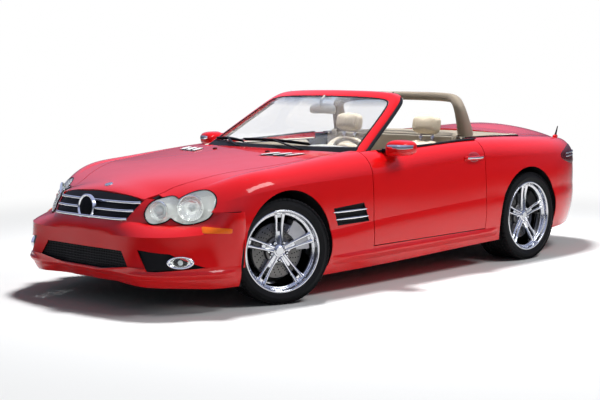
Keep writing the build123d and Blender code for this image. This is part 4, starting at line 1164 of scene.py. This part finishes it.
# ---- seats --------------------------------------------------------------------
SEAT_Y = 0.385
LEAN = math.radians(22.0)
CLOTH_FRAMES = 20


def swelled(obj, start, cap):
    """New places of the vertices after a short cloth run with air inside, none moved past cap."""
    cloth = obj.modifiers.new("pad", "CLOTH")
    for key, value in (("quality", 5), ("mass", 0.3), ("tension_stiffness", 18.0), ("compression_stiffness", 18.0),
                       ("bending_stiffness", 1.2), ("use_pressure", True), ("uniform_pressure_force", 4.0)):
        setattr(cloth.settings, key, value)
    cloth.settings.effector_weights.gravity = 0.0
    cloth.point_cache.frame_start, cloth.point_cache.frame_end = 1, CLOTH_FRAMES
    for moment in range(1, CLOTH_FRAMES + 1):
        bpy.context.scene.frame_set(moment)
    full = realised(obj)
    after = [v.co.copy() for v in full.vertices]
    obj.modifiers.clear()
    bpy.data.meshes.remove(full)
    bpy.context.scene.frame_set(1)
    drift = sum(((b - a) for a, b in zip(start, after)), Vector()) / len(start)
    out = []
    for a, b in zip(start, after):
        step = b - a - drift
        if step.length > cap:
            step *= cap / step.length
        out.append(a + step)
    return out


def inflated(form, name, voxel, cap, dents):
    """Padded skin: the form remeshed, swelled as cloth, then drawn in along its seams."""
    obj = form.make(name, LEATHER)
    bpy.context.view_layer.objects.active = obj
    remesh = obj.modifiers.new("even", "REMESH")
    remesh.mode, remesh.voxel_size, remesh.use_smooth_shade = "VOXEL", voxel, True
    even = realised(obj)
    obj.modifiers.clear()
    obj.data = even
    even.materials.clear()
    even.materials.append(LEATHER)
    for v, place in zip(even.vertices, swelled(obj, [v.co.copy() for v in even.vertices], cap)):
        v.co = place
    normals = [v.normal.copy() for v in even.vertices]
    for v, n in zip(even.vertices, normals):
        v.co -= n * dents(v.co)
    even.shade_smooth()
    even.update()
    return obj


def mirror_copy(obj, name):
    mesh = obj.data.copy()
    for v in mesh.vertices:
        v.co.y = -v.co.y
    mesh.flip_normals()
    other = linked(name, mesh)
    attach(other, "body")
    return other


def groove(far, wide):
    return math.exp(-(far / wide) ** 2)


def cushion_warp(p):
    roll = 0.026 * max(0.0, abs(p.y) / 0.225 - 0.55) / 0.45 * (1 if p.z > 0 else 0)
    nose = -0.030 * max(0.0, p.x / 0.215 - 0.5) * 2 * (1 if p.z > 0 else 0.2)
    dish = -0.016 * (1 - (p.y / 0.225) ** 2) * (1 if p.z > 0 else 0) * (1 - max(0.0, p.x / 0.215))
    return Vector((p.x, p.y * (1 - 0.04 * (p.x < 0)), p.z + roll + nose + dish + 0.02 * p.x / 0.215))


def cushion_dents(p):
    x, y = p.x + 0.105, p.y - SEAT_Y
    if p.z < 0.36:
        return 0.0
    depth = 0.007 * groove(abs(y) - 0.140, 0.006) * (abs(x) < 0.19)
    if abs(y) < 0.135 and abs(x) < 0.17:
        depth += 0.0055 * groove((x + 0.17) % 0.052 - 0.026, 0.0055)
    return depth


def back_warp(p):
    side = max(0.0, abs(p.y) / 0.225 - 0.5) / 0.5
    wing = 0.036 * side * (1 if p.x > 0 else 0.25) * max(0.0, 1 - max(0.0, p.z / 0.255 - 0.1) * 1.05)
    narrow = 1 - 0.16 * max(0.0, p.z / 0.255) ** 1.5
    lumbar = 0.012 * math.cos(math.pi * (p.z + 0.11) / 0.30) * (p.x > 0) * (abs(p.z + 0.11) < 0.15)
    return Vector((p.x + wing + lumbar, p.y * narrow, p.z - 0.020 * (p.y / 0.225) ** 2 * (p.z > 0)))


def back_dents(p):
    if p.x < 0:
        return 0.004 * groove(abs(p.y) - 0.175, 0.005) * (abs(p.z) < 0.22)
    depth = 0.007 * groove(abs(p.y) - 0.132, 0.006) * (abs(p.z) < 0.235)
    depth += 0.006 * groove(p.z - 0.180, 0.006) * (abs(p.y) < 0.132)
    if abs(p.y) < 0.126 and -0.21 < p.z < 0.168:
        depth += 0.0055 * groove((p.z + 0.21) % 0.054 - 0.027, 0.0055)
    return depth


def rest_warp(p):
    bow = (p.y / 0.116) ** 2
    return Vector((p.x + 0.012 * bow, p.y, p.z * (1 - 0.10 * bow)))


def rest_dents(p):
    return 0.005 * groove(abs(p.y) - 0.082, 0.005) + 0.004 * groove(p.x + 0.018, 0.004) * (abs(p.y) > 0.085)


def seat_parts():
    """Cushion, back and headrest, each with its side rolls, sewn channels and edge seams."""
    lean = Matrix.Translation((-0.482, SEAT_Y, 0.668)) @ Matrix.Rotation(-LEAN, 4, "Y")
    nod = Matrix.Translation((-0.590, SEAT_Y, 1.016)) @ Matrix.Rotation(math.radians(-10), 4, "Y")
    unlean, unnod = lean.inverted(), nod.inverted()
    cushion = blob((-0.105, SEAT_Y, 0.352), (0.205, 0.224, 0.076), 0.45, 22, 56, cushion_warp)
    back = blob((0, 0, 0), (0.058, 0.224, 0.262), 0.45, 26, 56, back_warp).moved(lean)
    rest = blob((0, 0, 0), (0.047, 0.116, 0.070), 0.5, 16, 40, rest_warp).moved(nod)
    for form, what, voxel, cap, dents in ((cushion, "seat_cushion", 0.007, 0.026, cushion_dents),
                                          (back, "seat_back", 0.007, 0.026, lambda co: back_dents(unlean @ co)),
                                          (rest, "headrest", 0.006, 0.016, lambda co: rest_dents(unnod @ co))):
        pad = inflated(form, what + "_left", voxel, cap, dents)
        for obj, side in ((pad, "left"), (mirror_copy(pad, what + "_right"), "right")):
            if what == "seat_cushion":
                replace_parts(obj, "seat_" + side)
    posts = Form()
    for y in (SEAT_Y - 0.055, SEAT_Y + 0.055):
        posts.sweep([(-0.578, y, 0.885), (-0.585, y, 0.93), (-0.591, y, 0.985)], circle(0.0065, 16), up=(0, 1, 0))
        posts.spun([(0.0070, 0.012), (0.013, 0.010), (0.015, 0.004), (0.015, -0.010)], 20,
                   place=Matrix.Translation((-0.580, y, 0.925)))
    posts.pair("headrest_posts", SATIN)
    edge = ((1, 0.85), (0.92, 1), (-0.92, 1), (-1, 0.85), (-1, -0.85), (-0.92, -1), (0.92, -1), (1, -0.85))
    base = Form().rows([[(-0.110 + 0.185 * k * a, SEAT_Y + 0.205 * k * b, z) for a, b in edge]
                        for z, k in ((0.2375, 0.92), (0.245, 1.0), (0.285, 1.0), (0.300, 0.97))])
    for y in (SEAT_Y - 0.17, SEAT_Y + 0.17):
        base.sweep([(-0.36, y, 0.246), (0.12, y, 0.246)], bar_profile(0.034, 0.016, 0.004))
    base.pair("seat_base", BLACK, sharp=30)
    shell = Form().sheet([[lean @ Vector((-0.054 - deep * (1 - abs(t) ** 4), wide * t, z)) for t in steps(16, -1, 1)]
                          for z, wide, deep in ((-0.235, 0.190, 0.030), (-0.15, 0.208, 0.034), (0.0, 0.206, 0.034),
                                                (0.14, 0.192, 0.033), (0.225, 0.165, 0.030))])
    for obj in shell.pair("seat_back_shell", GREY_TRIM, sharp=60):
        thickened(obj, 0.004, 1.0)


# ---- roll bar and roof well ---------------------------------------------------
def roll_dress():
    """Padded hoop, the cover of the roof well, and the trim along the quarters."""
    line = smooth_line([(-0.748, 0.618, 0.931), (-0.726, 0.616, 1.010), (-0.695, 0.610, 1.110),
                        (-0.690, 0.590, 1.165), (-0.712, 0.545, 1.198), (-0.748, 0.470, 1.212),
                        (-0.780, 0.300, 1.219), (-0.792, 0.0, 1.222)], 6)
    line += [Vector((p.x, -p.y, p.z)) for p in reversed(line[:-1])]
    ring = [(0.036 * blunt(math.cos(t), 0.7), 0.032 * blunt(math.sin(t), 0.7)) for t in round_steps(20)]
    hoop = Form().sweep(line, ring, up=lambda p: (0.0, 0.75 * p.y / 0.6, 1.0 - 0.6 * (abs(p.y) > 0.58)),
                        sizes=[1.0 + 0.55 * min(1.0, max(0.0, (1.20 - p.z) / 0.24)) for p in line])
    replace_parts(hoop.make("padded_roll_bar", TAUPE, sharp=60), "roll_bar")
    rows = []
    for k, x in enumerate(steps(14, -0.700, -1.272), 1):
        rise = 0.022 * math.sin(math.pi * (k / 15)) ** 0.5
        rows.append([(x, y, 0.9305 + rise * (1 - (y / 0.66) ** 4) - 0.004 * groove(abs(y) - 0.30, 0.012)
                      if 0 < j < 24 else 0.9302) for j, y in enumerate(steps(24, -0.655, 0.655))])
    Form().sheet(rows).make("roof_well_cover", COVER, sharp=50)
    side = Skin("body_side_left")
    Form().sweep([side.top(x, 0.7065, 0.0015)[0] for x in steps(16, -0.628, -1.268)],
                 bar_profile(0.020, 0.014, 0.004)).pair("quarter_seal", SEAL)
    rows = []
    for x in steps(12, -0.640, -1.270):
        top = side.top(x, 0.7065)[0].z
        rows.append([(x, y, z) for y, z in ((0.6985, top + 0.001), (0.690, top + 0.004), (0.672, top + 0.002),
                                            (0.662, top - 0.008), (0.650, 0.933))])
    Form().sheet(rows).pair("quarter_trim", COVER, sharp=60)


# ---- cabin --------------------------------------------------------------------
WHEEL_C = Vector((0.209, 0.370, 0.787))
COLUMN_RISE = math.radians(22)


def slab(outline, depths):
    """Thin plate across X: outline of (y, z) points set at each x."""
    return Form().rows([[(x, y, z) for y, z in outline] for x in depths])


def dash_dress():
    """Dashboard roll with the brow over the dials, bright inlay, dials, vents and centre panel."""
    section = ((0.592, 0.868), (0.590, 0.8815), (0.540, 0.8850), (0.470, 0.8830), (0.410, 0.8720), (0.362, 0.8440),
               (0.338, 0.8020), (0.336, 0.7820), (0.350, 0.7700))
    rows = []
    for y in steps(28, -0.758, 0.758):
        brow = 0.036 * math.exp(-((y - 0.370) / 0.150) ** 4)
        row = []
        for j, (x, z) in enumerate(section):
            lift = brow * (1.0 if 2 <= j <= 5 else (0.3 if j in (1, 6) else 0.0))
            row.append((x - (0.020 if lift > 0.01 and j > 3 else 0.0) * lift / 0.036, y, z + lift))
        rows.append(row)
    Form().sheet(rows).make("dashboard_roll", GREY_TRIM, sharp=50)
    Form().sheet([[(x, y, z) for x, z in ((0.342, 0.768), (0.3445, 0.760), (0.3505, 0.742), (0.3645, 0.712),
                                          (0.373, 0.700))] for y in steps(24, -0.752, 0.752)]).make(
        "dashboard_inlay", SATIN, sharp=50)
    dials, faces = Form(), Form()
    for y in (0.300, 0.440):
        place = facing((0.352, y, 0.838), (-1, 0, 0.25))
        dials.spun(lathe_profile([(0.043, -0.002), (0.043, 0.010), (0.049, 0.012), (0.054, 0.008), (0.054, -0.012)]),
                   48, place=place)
        faces.spun([(0.0, 0.0015), (0.043, 0.001)], 40, place=place)
    dials.make("dial_rims", CHROME)
    faces.make("dial_faces", GLOSS_BLACK)
    vents, slats = Form(), Form()
    for y in (-0.640, -0.085, 0.085, 0.640):
        place = facing((0.334, y, 0.800), (-1, 0, 0.12))
        vents.spun(lathe_profile([(0.030, -0.004), (0.030, 0.004), (0.036, 0.007), (0.040, 0.003), (0.040, -0.014)]),
                   40, place=place)
        for dz in (-0.018, -0.006, 0.006, 0.018):
            w = math.sqrt(0.030 ** 2 - dz ** 2)
            slats.sweep([place @ Vector((end, dz, 0.001)) for end in (-w, w)], bar_profile(0.003, 0.006, 0.001),
                        up=place.to_3x3() @ Vector((0, 0, 1)))
    vents.make("air_vents", SATIN)
    slats.make("vent_slats", BLACK)
    slab(((-0.090, 0.560), (0.090, 0.560), (0.095, 0.575), (0.095, 0.695), (-0.095, 0.695), (-0.095, 0.575)),
         (0.305, 0.299)).make("centre_panel", GLOSS_BLACK, sharp=30)
    knobs = Form()
    for y in (-0.055, 0.055, 0.0):
        knobs.spun(lathe_profile([(0.0, 0.018), (0.013, 0.017), (0.0155, 0.0), (0.0155, -0.002)]), 28,
                   place=Matrix.Translation((0.299, y, 0.600)) @ Matrix.Rotation(math.radians(-90), 4, "Y"))
    for z in (0.636, 0.660):
        for y in (-0.070 + 0.028 * k for k in range(6)):
            knobs.join(slab([(y + a * 0.011, z + b * 0.008) for a, b in SQUARE], (0.299, 0.295)))
    knobs.make("panel_controls", SATIN, sharp=30)


def console_dress():
    """Tunnel skin, the dark plate on it and the gear lever."""
    rows = []
    for t in steps(22):
        z = 0.524 + 0.030 * (t > 0.62) * min(1.0, (t - 0.62) * 12) + 0.010 * max(0, 0.25 - t)
        rows.append([(0.300 - 0.640 * t, a * 0.108, z + b) for a, b in
                     ((1, -0.285), (1, -0.030), (0.97, -0.008), (0.86, 0.002), (0, 0.004), (-0.86, 0.002),
                      (-0.97, -0.008), (-1, -0.030), (-1, -0.285))])
    Form().sheet(rows).make("console_skin", PALE, sharp=50)
    edge = ((0.22, -1), (-0.06, -1), (-0.075, -0.8), (-0.075, 0.8), (-0.06, 1), (0.22, 1), (0.235, 0.8), (0.235, -0.8))
    Form().rows([[(x, a * 0.062, z) for x, a in edge] for z in (0.5285, 0.5325)]).make(
        "console_plate", GLOSS_BLACK, sharp=30)
    lever = Form().sweep([(0.075, 0, 0.528), (0.070, 0, 0.560), (0.062, 0, 0.590)], circle(0.008, 14), up=(0, 1, 0))
    lever.join(blob((0.078, 0, 0.534), (0.045, 0.034, 0.022), 0.8, 10, 24))
    lever.join(blob((0.058, 0, 0.606), (0.026, 0.019, 0.024), 0.8, 12, 24)).make("gear_lever", BLACK, sharp=50)


def helm_dress():
    """Steering wheel's rim, hub and spokes, and the column with its stalks."""
    place = facing(WHEEL_C, (-math.cos(COLUMN_RISE), 0, math.sin(COLUMN_RISE)))
    up = place.to_3x3() @ Vector((0, 0, 1))
    rim = Form().spun([(0.1765 + 0.0165 * math.cos(t), 0.0145 * math.sin(t)) for t in round_steps(18)], 96,
                      closed=True, place=place)
    rim.join(blob((0, 0, -0.004), (0.070, 0.062, 0.026), 0.7, 14, 36,
                  lambda p: Vector((p.x, p.y, p.z + 0.008 * (p.z > 0)))), place)
    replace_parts(rim.make("wheel_rim", WHEEL_LEATHER, "steering_wheel", sharp=60), "steering_wheel")
    arms = Form()
    for turn, wide in ((-8, 0.026), (188, 0.026), (268, 0.018)):
        line = [place @ (polar(math.radians(turn)) * r + Vector((0, 0, h)))
                for r, h in ((0.050, -0.010), (0.085, -0.012), (0.125, -0.010), (0.168, -0.002))]
        arms.sweep(line, bar_profile(wide, 0.010, 0.003), up=up)
    arms.make("wheel_spokes", SATIN, "steering_wheel", sharp=40)
    Form().spun([(0.036, -0.020), (0.040, -0.030), (0.044, -0.060), (0.046, -0.160), (0.050, -0.190)], 32,
                place=place).make("column_shroud", BLACK)
    stalks = Form()
    for sign in (1, -1):
        stalks.sweep([place @ Vector((sign * r, 0.012, -0.045 + 0.10 * (r - 0.04))) for r in (0.030, 0.080, 0.135)],
                     bar_profile(0.012, 0.008, 0.003), up=up, sizes=[0.8, 1.0, 1.25])
    stalks.make("column_stalks", BLACK, sharp=40)


def floor_dress():
    """Carpets, belts and pedals."""
    Form().sheet([[(x, y, 0.2390 + 0.0015 * math.sin(40 * x) * math.sin(31 * y)) for y in steps(12, 0.112, 0.752)]
                  for x in steps(24, -0.684, 0.592)]).pair("floor_carpet", CARPET, sharp=60)
    Form().sheet([[(-0.6830, y * 0.740, z) if z < 0.70 else (-0.6560, y * 0.690, z) for y in steps(16, -1, 1)]
                  for z in (0.245, 0.40, 0.56, 0.72, 0.86, 0.925)]).make("rear_bulkhead_carpet", CARPET, sharp=40)
    belt = smooth_line([(-0.672, 0.615, 0.945), (-0.645, 0.605, 0.950), (-0.630, 0.595, 0.90), (-0.628, 0.595, 0.70),
                        (-0.600, 0.605, 0.45), (-0.560, 0.630, 0.27)], 5)
    Form().sweep(belt, bar_profile(0.0022, 0.046, 0.0008), up=(0, 1, 0)).pair("belt_webbing", BELT, sharp=60)
    pedals = Form()
    for y, w in ((0.46, 0.05), (0.38, 0.06), (0.295, 0.045)):
        pedals.rows([[(0.470 + dx, y + a * w / 2, 0.330 + b * 0.035 + dx) for a, b in SQUARE] for dx in (0.0, 0.008)])
        pedals.sweep([(0.478, y, 0.350), (0.520, y, 0.45), (0.560, y, 0.58)], bar_profile(0.012, 0.008, 0.002))
    pedals.make("foot_pedals", SATIN, sharp=30)


# ---- tail ---------------------------------------------------------------------
TAIL_LAMP_Z, TAIL_TURN = 0.755, (14, 120)
PIPE_X, PIPE_Y, PIPE_Z = -2.185, (0.395, 0.480), 0.258


def tail_lamps():
    """Dark red lens that wraps each rear corner, with two bright lines across it."""
    for side, s in (("left", 1), ("right", -1)):
        skin = Skin("tail_lamp_" + side, "body_side_" + side, "rear_bumper", "trunk_lid")
        rows, line = [], []
        for t in steps(24):
            out = polar(math.radians(180 - s * (TAIL_TURN[0] + (TAIL_TURN[1] - TAIL_TURN[0]) * t)))
            half = 0.070 * (1 - t ** 9) + 0.012
            rows.append([skin.hit(Vector((-1.90, s * 0.36, TAIL_LAMP_Z + half * c)) + out * 2.0, -out)[0]
                         + out * (0.0045 if abs(c) < 1 and 0 < t < 1 else -0.001) for c in steps(8, -1, 1)])
            line.append(rows[-1][4] + out * 0.001)
        Form().sheet(rows).make("tail_lamp_lens_" + side, TAIL_RED, sharp=50)
        bars = Form()
        for dz in (-0.012, 0.012):
            bars.sweep([p + Vector((0, 0, dz)) for p in line[2:-2]], bar_profile(0.008, 0.009, 0.002))
        bars.make("tail_lamp_bar_" + side, CHROME, sharp=50)


def bumper_dress():
    """Plate bay with a blank plate, bright strip, and the ends of the exhaust."""
    skin = Skin("rear_bumper")
    Form().sheet([[(skin.back(y * k, z)[0].x - 0.0012, y * k, z) for y in steps(16, -0.270, 0.270)]
                  for z, k in ((0.405, 1.0), (0.412, 0.985), (0.500, 0.985), (0.507, 1.0))]).make(
        "plate_bay", BLACK, sharp=40)
    mid = skin.back(0, 0.456)[0].x - 0.004
    Form().rows([[(mid - d, a * half, 0.456 + b * 0.037) for a, b in SQUARE]
                 for d, half in ((0.0, 0.245), (0.0016, 0.243))]).make("blank_plate", PLATE, sharp=30)
    Form().sweep([skin.back(y, 0.560)[0] + Vector((-0.002, 0, 0)) for y in steps(32, -0.40, 0.40)],
                 bar_profile(0.006, 0.010, 0.002)).make("bumper_strip", CHROME, sharp=50)
    tips, mouths = Form(), Form()
    for y in PIPE_Y:
        end = tapered(Vector((PIPE_X, y, PIPE_Z)))
        turn = Matrix.Rotation(math.radians(-90), 4, "Y")
        tips.spun(lathe_profile([(0.0325, -0.050), (0.0345, -0.046), (0.0360, 0.040), (0.0385, 0.052),
                                 (0.0370, 0.055), (0.0335, 0.052), (0.0320, 0.040), (0.0315, -0.045)]), 56,
                  place=Matrix.Translation(end) @ turn)
        mouths.spun([(0.0, 0.0), (0.0322, 0.0)], 40, place=Matrix.Translation(end - Vector((0.0315, 0, 0))) @ turn)
    tips.pair("pipe_tips", CHROME, sharp=50)
    mouths.pair("pipe_mouths", SOOT)


def tail_dress():
    """Lamps, brake light, bumper fittings, aerial and the filler flap's line, a black ring of painted shade for its
    gap.
    """
    tail_lamps()
    lid, rows = Skin("trunk_lid"), []
    for y in steps(20, -0.17, 0.17):
        half = 0.010 * (1 - abs(y / 0.17) ** 6)
        spot = lid.top(-2.02, y)[0]
        rows.append([spot + Vector((c * half, 0, s * 0.004)) for c, s in ((-1, -0.5), (-0.8, 1), (0.8, 1), (1, -0.5))])
    Form().sheet(rows).make("high_brake_light", RED_LENS, "trunk_lid", sharp=50)
    bumper_dress()
    foot = Skin("body_side_left").top(-1.800, 0.690)[0] + Vector((0, 0, 0.006))
    blob(foot, (0.026, 0.015, 0.014), 0.8, 10, 24).make("aerial_foot", PAINT)
    Form().sweep([foot + Vector((-0.034 * t, 0, 0.080 * t)) for t in (0, 0.3, 0.6, 0.9, 1.0)], circle(0.0032),
                 up=(0, 1, 0), sizes=[3.4, 2.4, 1.8, 1.3, 0.8]).make("stub_aerial", BLACK)
    # the flap's shut line is a thin gloss-black ring on the skin: painted shade in the gap
    right, rows = Skin("body_side_right"), []
    for s, lift in ((0.94, 0.0008), (1.0, -0.0005)):
        rows.append([right.hit((-1.230 + 0.078 * s * math.cos(t), -1.2, 0.800 + 0.078 * s * math.sin(t)), (0, 1, 0),
                               lift)[0] for t in round_steps(48)])
    Form().rows(rows, capped=False).make("filler_flap_gap_shade", GLOSS_BLACK)


# ---- building -----------------------------------------------------------------
for tail_node in ("floor_tub", "body_side_left", "body_side_right", "rear_bumper", "tail_lamp_left",
                  "tail_lamp_right", "exhaust"):
    reshaped(tail_node)
reshaped("trunk_lid", "trunk_lid")
for build in (studio, floor, camera, wheels, head_lamps, grille_dress, fog_lamps, side_markers, screen_dress,
              cabin_mirror, door_dress, hood_dress, gill_dress, screen_frame, seat_parts, roll_dress, dash_dress,
              console_dress, helm_dress, floor_dress, tail_dress, lower_blades, brakes):
    build()
bpy.context.scene.view_settings.view_transform = "Standard"
